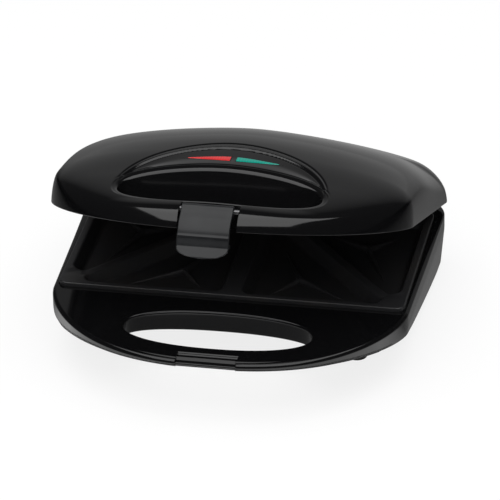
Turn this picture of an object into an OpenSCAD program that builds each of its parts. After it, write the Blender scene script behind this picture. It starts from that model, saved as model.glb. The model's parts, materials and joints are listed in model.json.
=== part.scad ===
// Two-slice sandwich toaster with its lid raised part way.
// +X is the object's right, +Y its back and +Z up. It stands on z = 0.
// Lid pieces are drawn shut and then turned up about the hinge.

/* [Overall size] */
// Width across the rear of the base, at its widest
body_w = 236; // [200:1:280]
// Depth of the rounded nose, from its tip to the shoulders
nose_d = 83; // [68:1:100]
// Depth from the shoulders to the rear wall
rear_d = 152; // [126:1:184]
// Height of the base's deck above the table
deck_h = 40; // [38:0.5:48]
// Height of the lid's crest above its lip
dome_h = 48.4; // [42:0.1:58]
// How far the lid is raised, in degrees
lid_open = 21.3; // [0:0.1:90]

/* [Housings] */
// Wall of both housings
wall = 2.5; // [2:0.1:3.2]
// Thickness of the deck and of the lid's inner frame
deck_t = 2.6; // [2:0.1:3.2]
// Thickness of the bottom cover
cover_t = 2; // [1.6:0.1:2.6]
// Depth of the base at its front tip
tip_t = 4.6; // [4:0.1:7]
// Height of the feet under the rear
foot_h = 4; // [3:0.1:6]
// Radius of a foot
foot_r = 8; // [6:0.5:10]
// Radius of the rear corners
corner_r = 24; // [16:1:32]
// Radius of the lid's rear corners
lid_corner_r = 15; // [10:1:30]
// How much wider each side is at the rear than at the shoulder
flare = 3; // [0:0.1:5]
// How far each flank of the base draws in towards the floor
tuck = 2.5; // [0:0.5:14]
// How far the lid stands out past the base at each side
lid_over = 1.2; // [0.8:0.1:3]
// Gap between the deck and the shut lid's lip
lip_gap = 2.4; // [1.6:0.1:3]

/* [Grips] */
// Half width of the grip hole in the base
base_grip_w = 60; // [50:1:66]
// Depth of the base's grip hole
base_grip_d = 43.6; // [34:0.2:46]
// Width of the bar in front of the base's grip hole
base_bar = 19.8; // [16:0.2:24]
// Half width of the grip opening in the lid
lid_grip_w = 64.5; // [52:0.5:68]
// Depth of the lid's grip opening
lid_grip_d = 42; // [34:0.5:46]
// Width of the bar in front of the lid's grip opening
lid_bar = 17.4; // [16:0.2:22]

/* [Heating plates] */
// Depth of a pocket
pocket_d = 10; // [8:0.2:11]
// Width of the sealing rim outside the pockets
rim_w = 5; // [4:0.2:7]
// Width of the land between the two pockets
land_w = 12; // [8:0.5:16]
// Width of the ridge that parts a pocket into triangles
ridge_w = 6; // [4:0.5:8]
// How far the lower plate's rim stands above the deck
rim_up = 2.6; // [2:0.1:3]
// Gap between the two rims when shut
rim_gap = 0.4; // [0.3:0.1:1]
// Thickness of a plate's flange
flange_t = 4.2; // [3.5:0.1:5]
// Diameter of a heating element's tube
tube_d = 6; // [5:0.1:6.6]

/* [Hinge and latch] */
// Diameter of a hinge pin
hinge_pin_d = 4; // [3:0.1:5]
// Radius of the hinge barrels
barrel_r = 5.6; // [5:0.1:6.5]
// Width of a lid barrel
barrel_w = 18; // [12:0.5:24]
// Distance of a lid barrel's middle from the centre plane
barrel_x = 71; // [60:0.5:80]
// Width of the latch
latch_w = 35; // [28:0.5:38]
// Diameter of the latch pin
latch_pin_d = 3; // [2.4:0.1:3.6]
// How far the latch stands out from its locked place, in degrees
latch_out = 8; // [0:0.5:20]
// Bore of the cord gland
gland_bore = 7.2; // [6:0.1:8]

/* [Hidden] */
$fn = 48;

eps = 0.01;
reach = 400;         // longer than any cut needs to be
fit = 0.3;           // gap between pieces of one body
run = 0.05;          // radial clearance of a turning fit
side_gap = 0.5;      // gap beside a turning piece

// ---- plan of the base
half_w = body_w / 2;
shoulder_w = half_w - flare;
front_share = 7 / 6; // the lid's overhang at the front, as a share of that at a side
back_over = 3;       // the raised lid's overhang behind the base
front_y = -(nose_d + rear_d + back_over) / 2;
shoulder_y = front_y + nose_d;
rear_y = shoulder_y + rear_d;
nose_px = 2.4;       // powers of the rounded nose
nose_py = 1.6;

function nose_pt(w, d, t) = [w * pow(sin(t), 2 / nose_px), -d * pow(cos(t), 2 / nose_py)];
// right half of the plan, from the nose tip to the rear, drawn in by e
function half_plan(e, over = 0, rear = rear_y, corner = corner_r) =
  let (w = shoulder_w + over - e, d = nose_d + front_share * over - e, r = corner - e, back = rear - e)
  concat(
    [for (t = [3, 8, 14, 20, 27, 34, 42, 50, 58, 66, 74, 82]) nose_pt(w, d, t) + [0, shoulder_y]],
    [for (i = [0 : 5]) [w + flare * i / 5, shoulder_y + (back - r - shoulder_y) * i / 5]],
    [for (a = [15 : 15 : 90]) [w + flare - r + r * cos(a), back - r + r * sin(a)]]);
function mirrored(p) = [for (i = [len(p) - 1 : -1 : 0]) [-p[i][0], p[i][1]]];
function plan(e, over = 0, rear = rear_y) =
  let (h = half_plan(e, over, rear)) concat(h, mirrored(h));
function oval(w, d, n = 48, p = 2.2) =
  [for (i = [0 : n - 1]) let (a = 360 * i / n, c = cos(a), s = sin(a))
    [w * sign(c) * pow(abs(c), 2 / p), d * sign(s) * pow(abs(s), 2 / p)]];

// ---- underside of the base, which sweeps up to the front like a boat
keel_len = 0.84 * (nose_d + rear_d);
keel_d = deck_h - foot_h - tip_t;
function keel_u(y) = min(1, max(0, (y - front_y) / keel_len));
function keel_z(y) =
  let (u = keel_u(y)) deck_h - tip_t - keel_d * (0.75 * u + 0.125 * (1 - cos(180 * u)));

// ---- plates
plate_fit = 0.5;     // gap between a plate's flange and the walls
plate_hw = shoulder_w - wall - plate_fit;
plate_y0 = shoulder_y - 1;
plate_y1 = rear_y - corner_r;
plate_cy = (plate_y0 + plate_y1) / 2;
plate_hd = (plate_y1 - plate_y0) / 2;
plate_r = 5;
block_in = 3;        // how far the cast block stands in from the flange
block_t = pocket_d + 2.6;
pocket_w = plate_hw - rim_w - land_w / 2;
pocket_l = 2 * (plate_hd - rim_w) + 2;
rim_z = deck_h + rim_up;
upper_rim_z = rim_z + rim_gap;
lower_back = rim_z - block_t;
upper_back = upper_rim_z + block_t;
ledge_w = 3;
ledge_t = 3;

// ---- heating gear behind a plate, measured from the plate's back face
tube_r = tube_d / 2;
tube_in = 0.2;       // gap between the tube and the plate
loop_x = plate_hw - 40;
loop_y0 = plate_cy - plate_hd + 45;
loop_y1 = plate_y1 - 26;
loop_r = 12;
cold_x = 14;
cold_y = loop_y1 + 22;
boss_x = plate_hw - 21;
boss_y0 = plate_y0 + 50;
boss_y1 = plate_y1 - 18;
boss_r = 4.5;
tray_gap = 7.6;      // from the plate's back face to the reflector
tray_t = 0.8;
tray_x = plate_hw - 15;
tray_y0 = loop_y0 - 10;
tray_y1 = loop_y1 + 15;
tray_wall = 5;
ear_x = plate_hw - 8;
ear_w = 14;
screw_r = 2;
head_r = 3.8;
head_h = 2.4;

// ---- hinge
hinge_y = rear_y - 6;
hinge_z = deck_h;
hinge_pin_r = hinge_pin_d / 2;
knuckle_w = 8;
pin_end = barrel_x + barrel_w / 2 + side_gap + knuckle_w;

// ---- lid
lip_z = deck_h + lip_gap;
skirt_h = 1.6;       // upright band above the lid's lip
lid_rear = hinge_y - 2.1;
lid_front = front_y - front_share * lid_over;
lid_len = lid_rear - lid_front;
lid_cy = lid_front + lid_bar + lid_grip_d / 2;
base_grip_y = front_y + base_bar + base_grip_d / 2;
// the crest line: distance from the front tip and height, as shares of the lid's
crest = [[0, 0.126], [0.015, 0.219], [0.041, 0.298], [0.094, 0.374], [0.234, 0.618],
  [0.365, 0.839], [0.475, 0.969], [0.584, 1], [0.715, 0.94], [0.89, 0.8],
  [0.968, 0.705], [1, 0.55]];
side_pu = 1.3;       // powers of the dome's cross-section
side_pz = 4.6;

function slope(p, i) =
  let (a = max(0, i - 1), b = min(len(p) - 1, i + 1)) (p[b][1] - p[a][1]) / (p[b][0] - p[a][0]);
function piece_of(p, x, i = 0) = (i >= len(p) - 2 || x < p[i + 1][0]) ? i : piece_of(p, x, i + 1);
function smooth(p, x) =
  let (i = piece_of(p, x), h = p[i + 1][0] - p[i][0], t = (x - p[i][0]) / h)
  p[i][1] * (1 + 2 * t) * pow(1 - t, 2) + slope(p, i) * h * t * pow(1 - t, 2)
  + p[i + 1][1] * t * t * (3 - 2 * t) + slope(p, i + 1) * h * t * t * (t - 1);
function crest_z(y) = dome_h * smooth(crest, min(1, max(0, (y - lid_front) / lid_len)));
function dome_z(u, y) =
  (crest_z(y) - skirt_h) * pow(max(0, 1 - pow(abs(u), side_pu)), 1 / side_pz);

// ---- latch
recess_hw = latch_w / 2 + 1.2;
recess_wall = 4.5;
latch_y = lid_front + 9;
latch_z = lip_z + 11.5;
latch_r = 4.4;
latch_t = 2.6;
hook_t = 2.6;
notch_in = 1.8;      // depth of the catch recess in the bar's front and top
bar_z = keel_z(front_y + notch_in) - 0.2;
hook_z = bar_z - 0.4;
hook_reach = 2.4;
tab_flare = 16;      // lean of the finger tab, in degrees
tab_len = 7;

// ---- scooped panel behind the lid's grip, deepest beside the grip
panel_d = lid_grip_d / 2 + 34;
panel_y = lid_cy + panel_d;
panel_z = lip_z + crest_z(panel_y);
panel_lean = 5.2;

// ---- indicator lamps
lens_y = lid_cy + lid_grip_d / 2 + 14;
lens_len = 29;
lens_d = 6.5;
lens_gap = 1.1;
lens_slope = panel_lean + atan((crest_z(lens_y + 8) - crest_z(lens_y - 8)) / 16);
lens_z = lip_z + crest_z(lens_y) - 2.2 - (panel_y - lens_y) * tan(panel_lean);

module turned_up() {
  translate([0, hinge_y, hinge_z]) rotate([-lid_open, 0, 0]) translate([0, -hinge_y, -hinge_z])
    children();
}
module both_sides() { for (s = [0, 1]) mirror([s, 0, 0]) children(); }
module along_x(x0, x1, y, z, r) {
  translate([x0, y, z]) rotate([0, 90, 0]) cylinder(r = r, h = x1 - x0);
}
module along_y(x, y0, y1, z, r) {
  translate([x, y0, z]) rotate([-90, 0, 0]) cylinder(r = r, h = y1 - y0);
}
module box(x0, x1, y0, y1, z0, z1) { translate([x0, y0, z0]) cube([x1 - x0, y1 - y0, z1 - z0]); }
module prism(points, z0, z1) { translate([0, 0, z0]) linear_extrude(z1 - z0) polygon(points); }
module rounded_rect(hw, hd, r, z0, z1) {
  translate([0, 0, z0]) linear_extrude(z1 - z0) union() {
    square([2 * hw, 2 * (hd - r)], center = true);
    square([2 * (hw - r), 2 * hd], center = true);
    for (x = [-1, 1], y = [-1, 1]) translate([x * (hw - r), y * (hd - r)]) circle(r);
  }
}
// a slab of thickness t that follows the underside, t = 0 meaning all below it
module keel_slab(t) {
  n = 26;
  step = (rear_y - front_y + 20) / n;
  ys = [for (i = [0 : n]) front_y - 10 + i * step];
  low = [for (y = ys) [y, t == 0 ? -10 : keel_z(y)]];
  high = [for (i = [n : -1 : 0]) [ys[i], keel_z(ys[i]) + t]];
  translate([-reach / 2, 0, 0]) rotate([90, 0, 90]) linear_extrude(reach)
    polygon(concat(low, high));
}

// ---- a heating plate, rim plane at z = 0 and pockets open upwards
function tri_k() = 1 - ridge_w / 2 / (pocket_w * pocket_l / norm([pocket_w, pocket_l]));
function inset_corner(a, p, b, r) =
  let (u = (a - p) / norm(a - p), v = (b - p) / norm(b - p), m = (u + v) / norm(u + v),
    half = acos(u * v) / 2) p + m * r / sin(half);
function inset_tri(t, r) =
  [for (i = [0 : 2]) inset_corner(t[(i + 2) % 3], t[i], t[(i + 1) % 3], r)];
function pocket_tri() = [[0, 0], [pocket_w * tri_k(), 0], [0, pocket_l * tri_k()]];
pocket_edge = 6;
pocket_foot = 2.5;
module pocket_cut() {
  hull() for (p = inset_tri(pocket_tri(), pocket_edge)) translate([p[0], p[1], -pocket_d])
    cylinder(r1 = pocket_foot, r2 = pocket_edge, h = pocket_d + eps, $fn = 24);
}
// three ridges that run from the middle of a pocket towards its corners
module pocket_star() {
  t = inset_tri(pocket_tri(), pocket_edge);
  c = (t[0] + t[1] + t[2]) / 3;
  low = -pocket_d - 0.4;
  tips = [for (p = t) c + (p - c) * 0.62];
  nicks = [for (i = [0 : 2]) let (m = (t[i] + t[(i + 1) % 3]) / 2 - c) c + m / norm(m) * 2.2];
  ring = [for (i = [0 : 2]) for (q = [tips[i], nicks[i]]) [q[0], q[1], low]];
  polyhedron(points = concat(ring, [[c[0], c[1], -pocket_d + 4]]),
    faces = concat([[0, 1, 2, 3, 4, 5]], [for (i = [0 : 5]) [(i + 1) % 6, i, 6]]));
}
module pocket_pair() {
  both_sides() translate([land_w / 2, plate_cy - pocket_l / 2, 0]) for (s = [0, 1])
    translate([s * pocket_w, s * pocket_l, 0]) rotate([0, 0, 180 * s]) children();
}
module heating_plate() {
  difference() {
    union() {
      translate([0, plate_cy, 0]) rounded_rect(plate_hw, plate_hd, plate_r, -flange_t, 0);
      translate([0, plate_cy, 0])
        rounded_rect(plate_hw - block_in, plate_hd - block_in, plate_r, -block_t, -flange_t + eps);
      at_bosses() cylinder(r = boss_r, h = tray_gap + 1);
    }
    pocket_pair() pocket_cut();
    // the ridge between two triangles is a little lower than the rim
    both_sides() translate([land_w / 2, plate_cy - pocket_l / 2, 0]) diagonal_cut();
    at_bosses() translate([0, 0, -1]) cylinder(r = screw_r, h = tray_gap);
  }
  pocket_pair() pocket_star();
}
module diagonal_cut() {
  a = atan2(pocket_l, -pocket_w);
  long = norm([pocket_w, pocket_l]);
  translate([pocket_w, 0, -1.4]) rotate([0, 0, a]) translate([14, -ridge_w / 2 - 2, 0])
    cube([long - 28, ridge_w + 4, 3]);
}
module at_bosses() {
  for (x = [-boss_x, boss_x], y = [boss_y0, boss_y1]) translate([x, y, -block_t - tray_gap]) children();
}

// ---- heating element, its middle plane at z = 0
function turn(x, y, a0, a1) = [for (i = [0 : 5]) let (a = a0 + (a1 - a0) * i / 5)
  [x + loop_r * cos(a), y + loop_r * sin(a), 0]];
function half_loop() = concat([[cold_x, cold_y, 0]],
  turn(cold_x + loop_r, loop_y1 + loop_r, 180, 270), turn(loop_x - loop_r, loop_y1 - loop_r, 90, 0),
  turn(loop_x - loop_r, loop_y0 + loop_r, 0, -90));
function mirrored3(p) = [for (i = [len(p) - 1 : -1 : 0]) [-p[i][0], p[i][1], p[i][2]]];
module element() {
  tube(concat(half_loop(), mirrored3(half_loop())), tube_r, 12, [0, 0, 1]);
  both_sides() along_y(cold_x, cold_y - 1, cold_y + 7, 0, 1.4);
}
// a strap round the tube, with a foot each side against the plate above
module strap() {
  top = tube_r + tube_in;
  arm = tube_r + 0.3;
  difference() {
    union() {
      along_y(0, -5, 5, 0, arm + tray_t);
      box(-arm - tray_t, arm + tray_t, -5, 5, 0, top);
      box(-arm - 8, arm + 8, -5, 5, top - tray_t, top);
    }
    along_y(0, -6, 6, 0, arm);
    box(-arm, arm, -6, 6, 0, top + 1);
  }
}
module straps() {
  both_sides() {
    translate([loop_x, plate_cy + 4, 0]) strap();
    translate([loop_x * 0.45, loop_y0, 0]) rotate([0, 0, 90]) strap();
  }
}
// a shallow steel tray, its face to the plate at z = 0 and its back below
module reflector() {
  hd = (tray_y1 - tray_y0) / 2;
  difference() {
    translate([0, tray_y0 + hd, 0]) difference() {
      rounded_rect(tray_x, hd, 3, -tray_t, tray_wall);
      rounded_rect(tray_x - tray_t, hd - tray_t, 3 - tray_t, 0, tray_wall + 1);
    }
    both_sides() box(cold_x - tube_r - 1, cold_x + tube_r + 1, tray_y1 - 5, tray_y1 + 5, 0.6, 20);
    for (x = [-boss_x, boss_x], y = [boss_y0, boss_y1]) translate([x, y, -5]) {
      cylinder(r = screw_r + 0.2, h = 10);
    }
    translate([0, plate_cy, -5]) cylinder(r = 2.5, h = 10);
  }
  both_sides() for (y = [boss_y0, boss_y1])
    box(tray_x - 1, ear_x, y - ear_w / 2, y + ear_w / 2, -tray_t, 0);
}
// bimetal thermostat: clamp plate, ceramic stack, contact arms and adjusting screw
module thermostat() {
  box(-11, 11, -5, 5, -1.2, 0);
  translate([0, 0, -5]) cylinder(r = 4, h = 4);
  box(-3, 22, -3, 3, -3.4, -2.8);
  box(-3, 19, -3, 3, -4.8, -4.2);
  translate([15, 0, -5.6]) cylinder(r = 1.6, h = 3);
}
module screw_up(len) {
  translate([0, 0, -head_h / 3]) cylinder(r = screw_r - run, h = len + head_h / 3);
  difference() {
    translate([0, 0, -head_h]) cylinder(r = head_r, h = head_h);
    for (a = [0, 90]) rotate([0, 0, a]) translate([-2.4, -0.45, -head_h - 1]) cube([4.8, 0.9, 2.2]);
  }
}
// a round tube swept along a path, with a ring at each point
function unit(v) = v / norm(v);
function along(p, i) = unit(unit(p[min(i + 1, len(p) - 1)] - p[min(i, len(p) - 2)])
  + unit(p[max(i, 1)] - p[max(i - 1, 0)]));
function ring_pts(p, i, side, r, n) =
  let (d = along(p, i), u = unit(cross(d, side)), v = cross(d, u))
  [for (k = [0 : n - 1]) p[i] + r * (u * cos(360 * k / n) + v * sin(360 * k / n))];
module tube(path, r, n = 8, side = [0.31, 0.17, 0.93]) {
  m = len(path);
  points = [for (i = [0 : m - 1]) for (q = ring_pts(path, i, side, r, n)) q];
  skin = [for (i = [0 : m - 2]) for (k = [0 : n - 1])
    let (a = i * n + k, b = i * n + (k + 1) % n) for (f = [[a, a + n, b + n], [a, b + n, b]]) f];
  polyhedron(points = points, faces = concat(skin,
    [[for (k = [0 : n - 1]) k]], [[for (k = [n - 1 : -1 : 0]) (m - 1) * n + k]]));
}

// ---- the base
ledge_z = rim_z - flange_t;
block_top = lower_back - 0.4;
block_low = lower_back - tray_gap;
cover_edge = base_grip_y - 20;
grip_wall_d = base_grip_d / 2 + wall;
cover_post_r = 5.5;
cover_screw_len = 7.5;
flank_z = 30;        // where the flanks start to draw in, level with the plate's back
// a post that stands against the leaning wall
function post_foot(y) = keel_z(y - cover_post_r) + cover_t + 0.2;
function post_at(y) = [shoulder_w + flare * (y - shoulder_y) / (rear_y - corner_r - shoulder_y)
  - tuck * (flank_z - post_foot(y)) / (flank_z - foot_h) - wall - 4.6, y];
cover_post = [post_at(rear_y - corner_r - 4), post_at(shoulder_y + 2)];
gland_x = -55;
gland_z = 19;
gland_r = 6;
gland_in = 12;        // how far the gland reaches inside
notch_w = latch_w / 2 + 1.6;
front_foot = [plate_hw - 32, shoulder_y + 9];
rear_foot = [plate_hw - 32, rear_y - 20];
sleeve_r = 3;
sleeve_x = 7;
sleeve_lean = 72;    // lean of the lid's half of the sleeve, in degrees
sleeve_end = [hinge_y - 14 * sin(sleeve_lean), hinge_z + 10 + 14 * cos(sleeve_lean)];

// the plan drawn in by e, upright above flank_z and with leaning flanks below it
module flanks(e, z1) {
  low = foot_h - 2;
  share = (half_w - e - tuck * (flank_z - low) / (flank_z - foot_h)) / (half_w - e);
  hull() {
    prism(plan(e), flank_z, z1);
    scale([share, 1, 1]) prism(plan(e), low, low + eps);
  }
}
module base_outside() {
  difference() {
    flanks(0, deck_h);
    keel_slab(0);
  }
}
module lug_pocket() {
  box(barrel_x - barrel_w / 2 - side_gap, barrel_x + barrel_w / 2 + side_gap,
    hinge_y - barrel_r - 2, rear_y + 1, hinge_z - barrel_r - 0.6, deck_h + 1);
}
module knuckles() {
  inner = barrel_x - barrel_w / 2 - side_gap;
  outer = barrel_x + barrel_w / 2 + side_gap;
  for (x = [inner - knuckle_w, outer]) {
    along_x(x, x + knuckle_w, hinge_y, hinge_z, barrel_r);
    box(x, x + knuckle_w, hinge_y - barrel_r, hinge_y + barrel_r, hinge_z - 8, hinge_z);
  }
}
module ledge_mouth() {
  translate([0, plate_cy, deck_h / 2])
    rounded_rect(plate_hw - ledge_w + 0.4, plate_hd - ledge_w + 0.4, plate_r, 0, reach);
}
module base_inside() {
  top = deck_h - deck_t;
  difference() {
    flanks(wall, top);
    // what stays standing inside: grip wall, solid bar, ledge, clamp blocks and posts
    translate([0, base_grip_y, 0])
      prism(oval(base_grip_w + wall, grip_wall_d), -1, top + 1);
    box(-reach, reach, -reach, cover_edge, -1, top + 1);
    both_sides() {
      for (y = [boss_y0, boss_y1])
        box(tray_x + 1, shoulder_w, y - ear_w / 2, y + ear_w / 2, block_low, block_top);
      for (p = cover_post) translate([p[0], p[1], post_foot(p[1])])
        cylinder(r = cover_post_r, h = block_top - post_foot(p[1]));
    }
    difference() {
      box(-reach, reach, plate_y0 - ledge_w, rear_y, ledge_z - ledge_t, top + 1);
      ledge_mouth();
    }
  }
}
module base_housing() color([0.035, 0.035, 0.04]) {
  difference() {
    union() {
      difference() {
        base_outside();
        base_inside();
        translate([0, plate_cy, 0]) rounded_rect(plate_hw + plate_fit, plate_hd + plate_fit,
          plate_r, ledge_z, reach);
        ledge_mouth();
        translate([0, base_grip_y, 0]) prism(oval(base_grip_w, base_grip_d / 2), -1, reach);
        // catch recess: a stepped pad in the bar's top and a set-back front
        box(-notch_w, notch_w, -reach, front_y + 12, deck_h - 1.6, reach);
        box(-notch_w, notch_w, -reach, front_y + 7, deck_h - 2.2, reach);
        box(-notch_w, notch_w, -reach, front_y + notch_in, -1, reach);
        both_sides() lug_pocket();
        box(-sleeve_x - 5, sleeve_x + 5, plate_y1 + 4, reach, hinge_z - sleeve_r - 1, reach);
        along_y(gland_x, rear_y - 10, rear_y + 5, gland_z, gland_r);
      }
      both_sides() knuckles();
    }
    both_sides() along_x(barrel_x - 20, pin_end + 1, hinge_y, hinge_z, hinge_pin_r);
    for (s = [-1, 1], p = cover_post) translate([s * p[0], p[1], 0])
      cylinder(r = 1.5, h = keel_z(p[1] + 3.2) + cover_screw_len + 0.5);
    translate([-sleeve_x, hinge_y, 0]) cylinder(r = sleeve_r + 0.4, h = reach);
  }
}
module bottom_cover() color([0.06, 0.06, 0.065]) {
  difference() {
    union() {
      intersection() {
        flanks(wall + fit, deck_h);
        keel_slab(cover_t);
      }
      both_sides() {
        translate([front_foot[0], front_foot[1], foot_h])
          cylinder(r = foot_r, h = keel_z(front_foot[1] - foot_r) + 0.6 - foot_h);
      }
    }
    translate([0, base_grip_y, 0])
      prism(oval(base_grip_w + wall + fit, grip_wall_d + fit), -1, reach);
    box(-reach, reach, -reach, cover_edge + fit, -1, reach);
    for (s = [-1, 1], p = cover_post) translate([s * p[0], p[1], 0]) {
      cylinder(r = 1.8, h = 40);
    }
    for (p = concat([front_foot], [rear_foot]), s = [-1, 1]) translate([s * p[0], p[1], 0])
      cylinder(r = 2.5 + run, h = foot_h + 5);
    // cooling slots under the reflector
    for (i = [-4 : 4]) box(i * 12 - 2, i * 12 + 2, rear_y - 50, rear_y - 24, -1, 12);
  }
}
module bottom_cover_screws() color([0.55, 0.55, 0.57]) {
  for (s = [-1, 1], p = cover_post) translate([s * p[0], p[1], keel_z(p[1] + 3.2) - 0.1]) {
    cylinder(r = 1.5 - run, h = cover_screw_len);
    translate([0, 0, -1.8]) cylinder(r = 3, h = 1.8 + eps);
  }
}
module rubber_feet() color([0.03, 0.03, 0.03]) {
  for (s = [-1, 1], p = concat([front_foot], [rear_foot])) translate([s * p[0], p[1], 0]) {
    cylinder(r1 = foot_r - 1.4, r2 = foot_r - 0.6, h = foot_h);
    translate([0, 0, foot_h - eps]) cylinder(r = 2.5, h = 3.4);
  }
}
module lower_plate() color([0.05, 0.05, 0.05]) translate([0, 0, rim_z]) heating_plate();
module lower_element() color([0.3, 0.28, 0.26])
  translate([0, 0, lower_back - tube_in - tube_r]) element();
module lower_element_clamps() color([0.7, 0.7, 0.72])
  translate([0, 0, lower_back - tube_in - tube_r]) straps();
module lower_reflector() color([0.75, 0.75, 0.77]) translate([0, 0, block_low]) reflector();
module lower_thermostat() color([0.85, 0.82, 0.75])
  translate([0, plate_cy, lower_back]) thermostat();
module lower_plate_screws() color([0.6, 0.6, 0.62]) {
  for (x = [-boss_x, boss_x], y = [boss_y0, boss_y1])
    translate([x, y, block_low - tray_t]) screw_up(7);
}
module thermal_fuse() color([0.8, 0.78, 0.7]) {
  z = block_low - tray_t - 2.2;
  along_x(-42, -28, plate_cy + 12, z, 2);
  along_x(-47, -23, plate_cy + 12, z, 0.6);
}
block_x = 15;
block_y = rear_y - 19;
floor_z = foot_h + cover_t;
module terminal_block() color([0.88, 0.86, 0.8]) difference() {
  union() {
    box(block_x, block_x + 30, block_y, block_y + 12, floor_z + 0.1, floor_z + 8);
    box(block_x, block_x + 30, block_y + 3, block_y + 9, floor_z + 7.9, floor_z + 12);
  }
  for (i = [0 : 2]) {
    along_y(block_x + 5 + 10 * i, block_y - 1, block_y + 13, floor_z + 4, 1.6);
    translate([block_x + 5 + 10 * i, block_y + 6, floor_z + 4]) cylinder(r = 1.5, h = 10);
  }
}
module cord_gland() color([0.03, 0.03, 0.03])
  translate([gland_x, rear_y, gland_z]) rotate([90, 0, 0]) rotate_extrude() polygon([
    [gland_bore / 2, -2], [gland_r + 0.8, -2], [gland_r + 2.4, -fit], [gland_r - run, -fit],
    [gland_r - run, wall + fit], [gland_r + 2, wall + fit], [gland_r + 1.4, gland_in],
    [gland_bore / 2, gland_in]]);
module base_wiring() color([0.75, 0.2, 0.15]) {
  mid_z = 13;
  for (i = [0, 1]) {
    x = block_x + 5 + 10 * i;
    lead_x = gland_x + 2.8 * i - 1.4;
    tube([[lead_x, rear_y - gland_in - 0.5, gland_z], [lead_x, rear_y - gland_in - 3, gland_z],
      [gland_x + 10, rear_y - 17 - 3 * i, mid_z], [x - 12, block_y - 4 - 3 * i, mid_z - 1],
      [x, block_y - 4 - 3 * i, floor_z + 4], [x, block_y + 2, floor_z + 4]], 1.1);
  }
  tube([[-block_x, block_y + 6, block_low - 6], [-cold_x - 4, cold_y + 9, block_low - 4],
    [-cold_x, cold_y + 9.6, lower_back - tube_in - tube_r]], 1.1);
  tube([[-block_x, block_y + 6, block_low - 6], [-block_x - 8, plate_cy + 30, block_low - tray_t - 2.2],
    [-22, plate_cy + 12, block_low - tray_t - 2.2]], 1.1);
  tube([[block_x + 25, block_y + 6, floor_z + 14.5], [cold_x + 6, cold_y + 9, block_low - 4],
    [cold_x, cold_y + 9.6, lower_back - tube_in - tube_r]], 1.1);
}
module hinge_pins() color([0.65, 0.65, 0.67]) both_sides()
  along_x(barrel_x - barrel_w / 2 - side_gap - knuckle_w, pin_end - 0.2, hinge_y, hinge_z, hinge_pin_r - run);
// the lead to the lid turns on the hinge line, where its two halves meet end to end
module hinge_sleeve_lower() color([0.75, 0.73, 0.68]) {
  translate([-sleeve_x, hinge_y, 18]) cylinder(r = sleeve_r, h = hinge_z - 18);
  translate([-sleeve_x, hinge_y, hinge_z]) sphere(sleeve_r);
  along_x(-sleeve_x, -0.15, hinge_y, hinge_z, sleeve_r);
}

// ---- the lid, drawn shut
// closed dome drawn in by e, its foot lowered by drop below the lip
module dome(e, drop = 0) {
  cut = 10;
  h = half_plan(e, lid_over, lid_rear, lid_corner_r);
  us = [for (j = [-cut : cut]) sin(90 * j / cut)];
  cols = len(us) + 2;
  low = lip_z - drop;
  function row(p) = concat([[-p[0], p[1], low]],
    [for (u = us) [u * p[0], p[1], lip_z + skirt_h + dome_z(u, p[1]) - e]], [[p[0], p[1], low]]);
  n = len(h);
  points = [for (p = h) for (q = row(p)) q];
  skin = [for (k = [0 : n - 2]) for (j = [0 : cols - 1])
    let (a = k * cols + j, b = k * cols + (j + 1) % cols)
      for (f = [[a, b + cols, b], [a, a + cols, b + cols]]) f];
  polyhedron(points = points, faces = concat(skin,
    [[for (j = [0 : cols - 1]) j]], [[for (j = [cols - 1 : -1 : 0]) (n - 1) * cols + j]]));
}
bar_block_y = lid_front + lid_bar - wall;
lug_top = lip_z + 9;
frame_low = upper_rim_z + 0.2;
frame_ledge = upper_rim_z + flange_t;
frame_post = [[shoulder_w - 9, shoulder_y - 8], [shoulder_w - 20, lid_rear - 8]];
module lens_outline(s, grow = 0) {
  // a long pointed drop, blunt next to the middle
  x0 = lens_gap - grow;
  mirror([s, 0, 0]) polygon(concat([[x0, -lens_d / 2 - grow], [x0, lens_d / 2 + grow]],
    [for (i = [1 : 8]) let (t = i / 8)
      [x0 + (lens_len + 2 * grow) * t, (lens_d / 2 + grow) * (1 - pow(t, 1.6) * 0.99)]],
    [for (i = [7 : -1 : 1]) let (t = i / 8)
      [x0 + (lens_len + 2 * grow) * t, -(lens_d / 2 + grow) * (1 - pow(t, 1.6) * 0.99)]]));
}
module sunk_dome(e) {
  translate([0, panel_y, panel_z]) rotate([panel_lean, 0, 0]) translate([0, -panel_y, -panel_z])
    dome(e, 20);
}
module above_panel(grow, e) difference() {
  intersection() {
    translate([0, lid_cy, 0]) prism(oval(lid_grip_w + 1.5 + grow, panel_d + grow), lip_z, reach);
    box(-reach, reach, lid_cy, reach, lip_z, reach);
  }
  sunk_dome(e);
}
module at_lens() { translate([0, lens_y, lens_z]) rotate([lens_slope, 0, 0]) children(); }
module lens(s) turned_up() intersection() {
  at_lens() translate([0, 0, -2.2]) linear_extrude(10) lens_outline(s, -0.15);
  sunk_dome(-0.2);
}
module knuckle_room() {
  both_sides() along_x(barrel_x - barrel_w / 2 - side_gap - knuckle_w - side_gap,
    pin_end + side_gap, hinge_y, hinge_z, barrel_r + side_gap);
}
module lid_lugs() {
  both_sides() {
    along_x(barrel_x - barrel_w / 2, barrel_x + barrel_w / 2, hinge_y, hinge_z, barrel_r);
    box(barrel_x - barrel_w / 2, barrel_x + barrel_w / 2, lid_rear - wall - 1, hinge_y + 2,
      hinge_z + 3, lug_top);
  }
}
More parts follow.
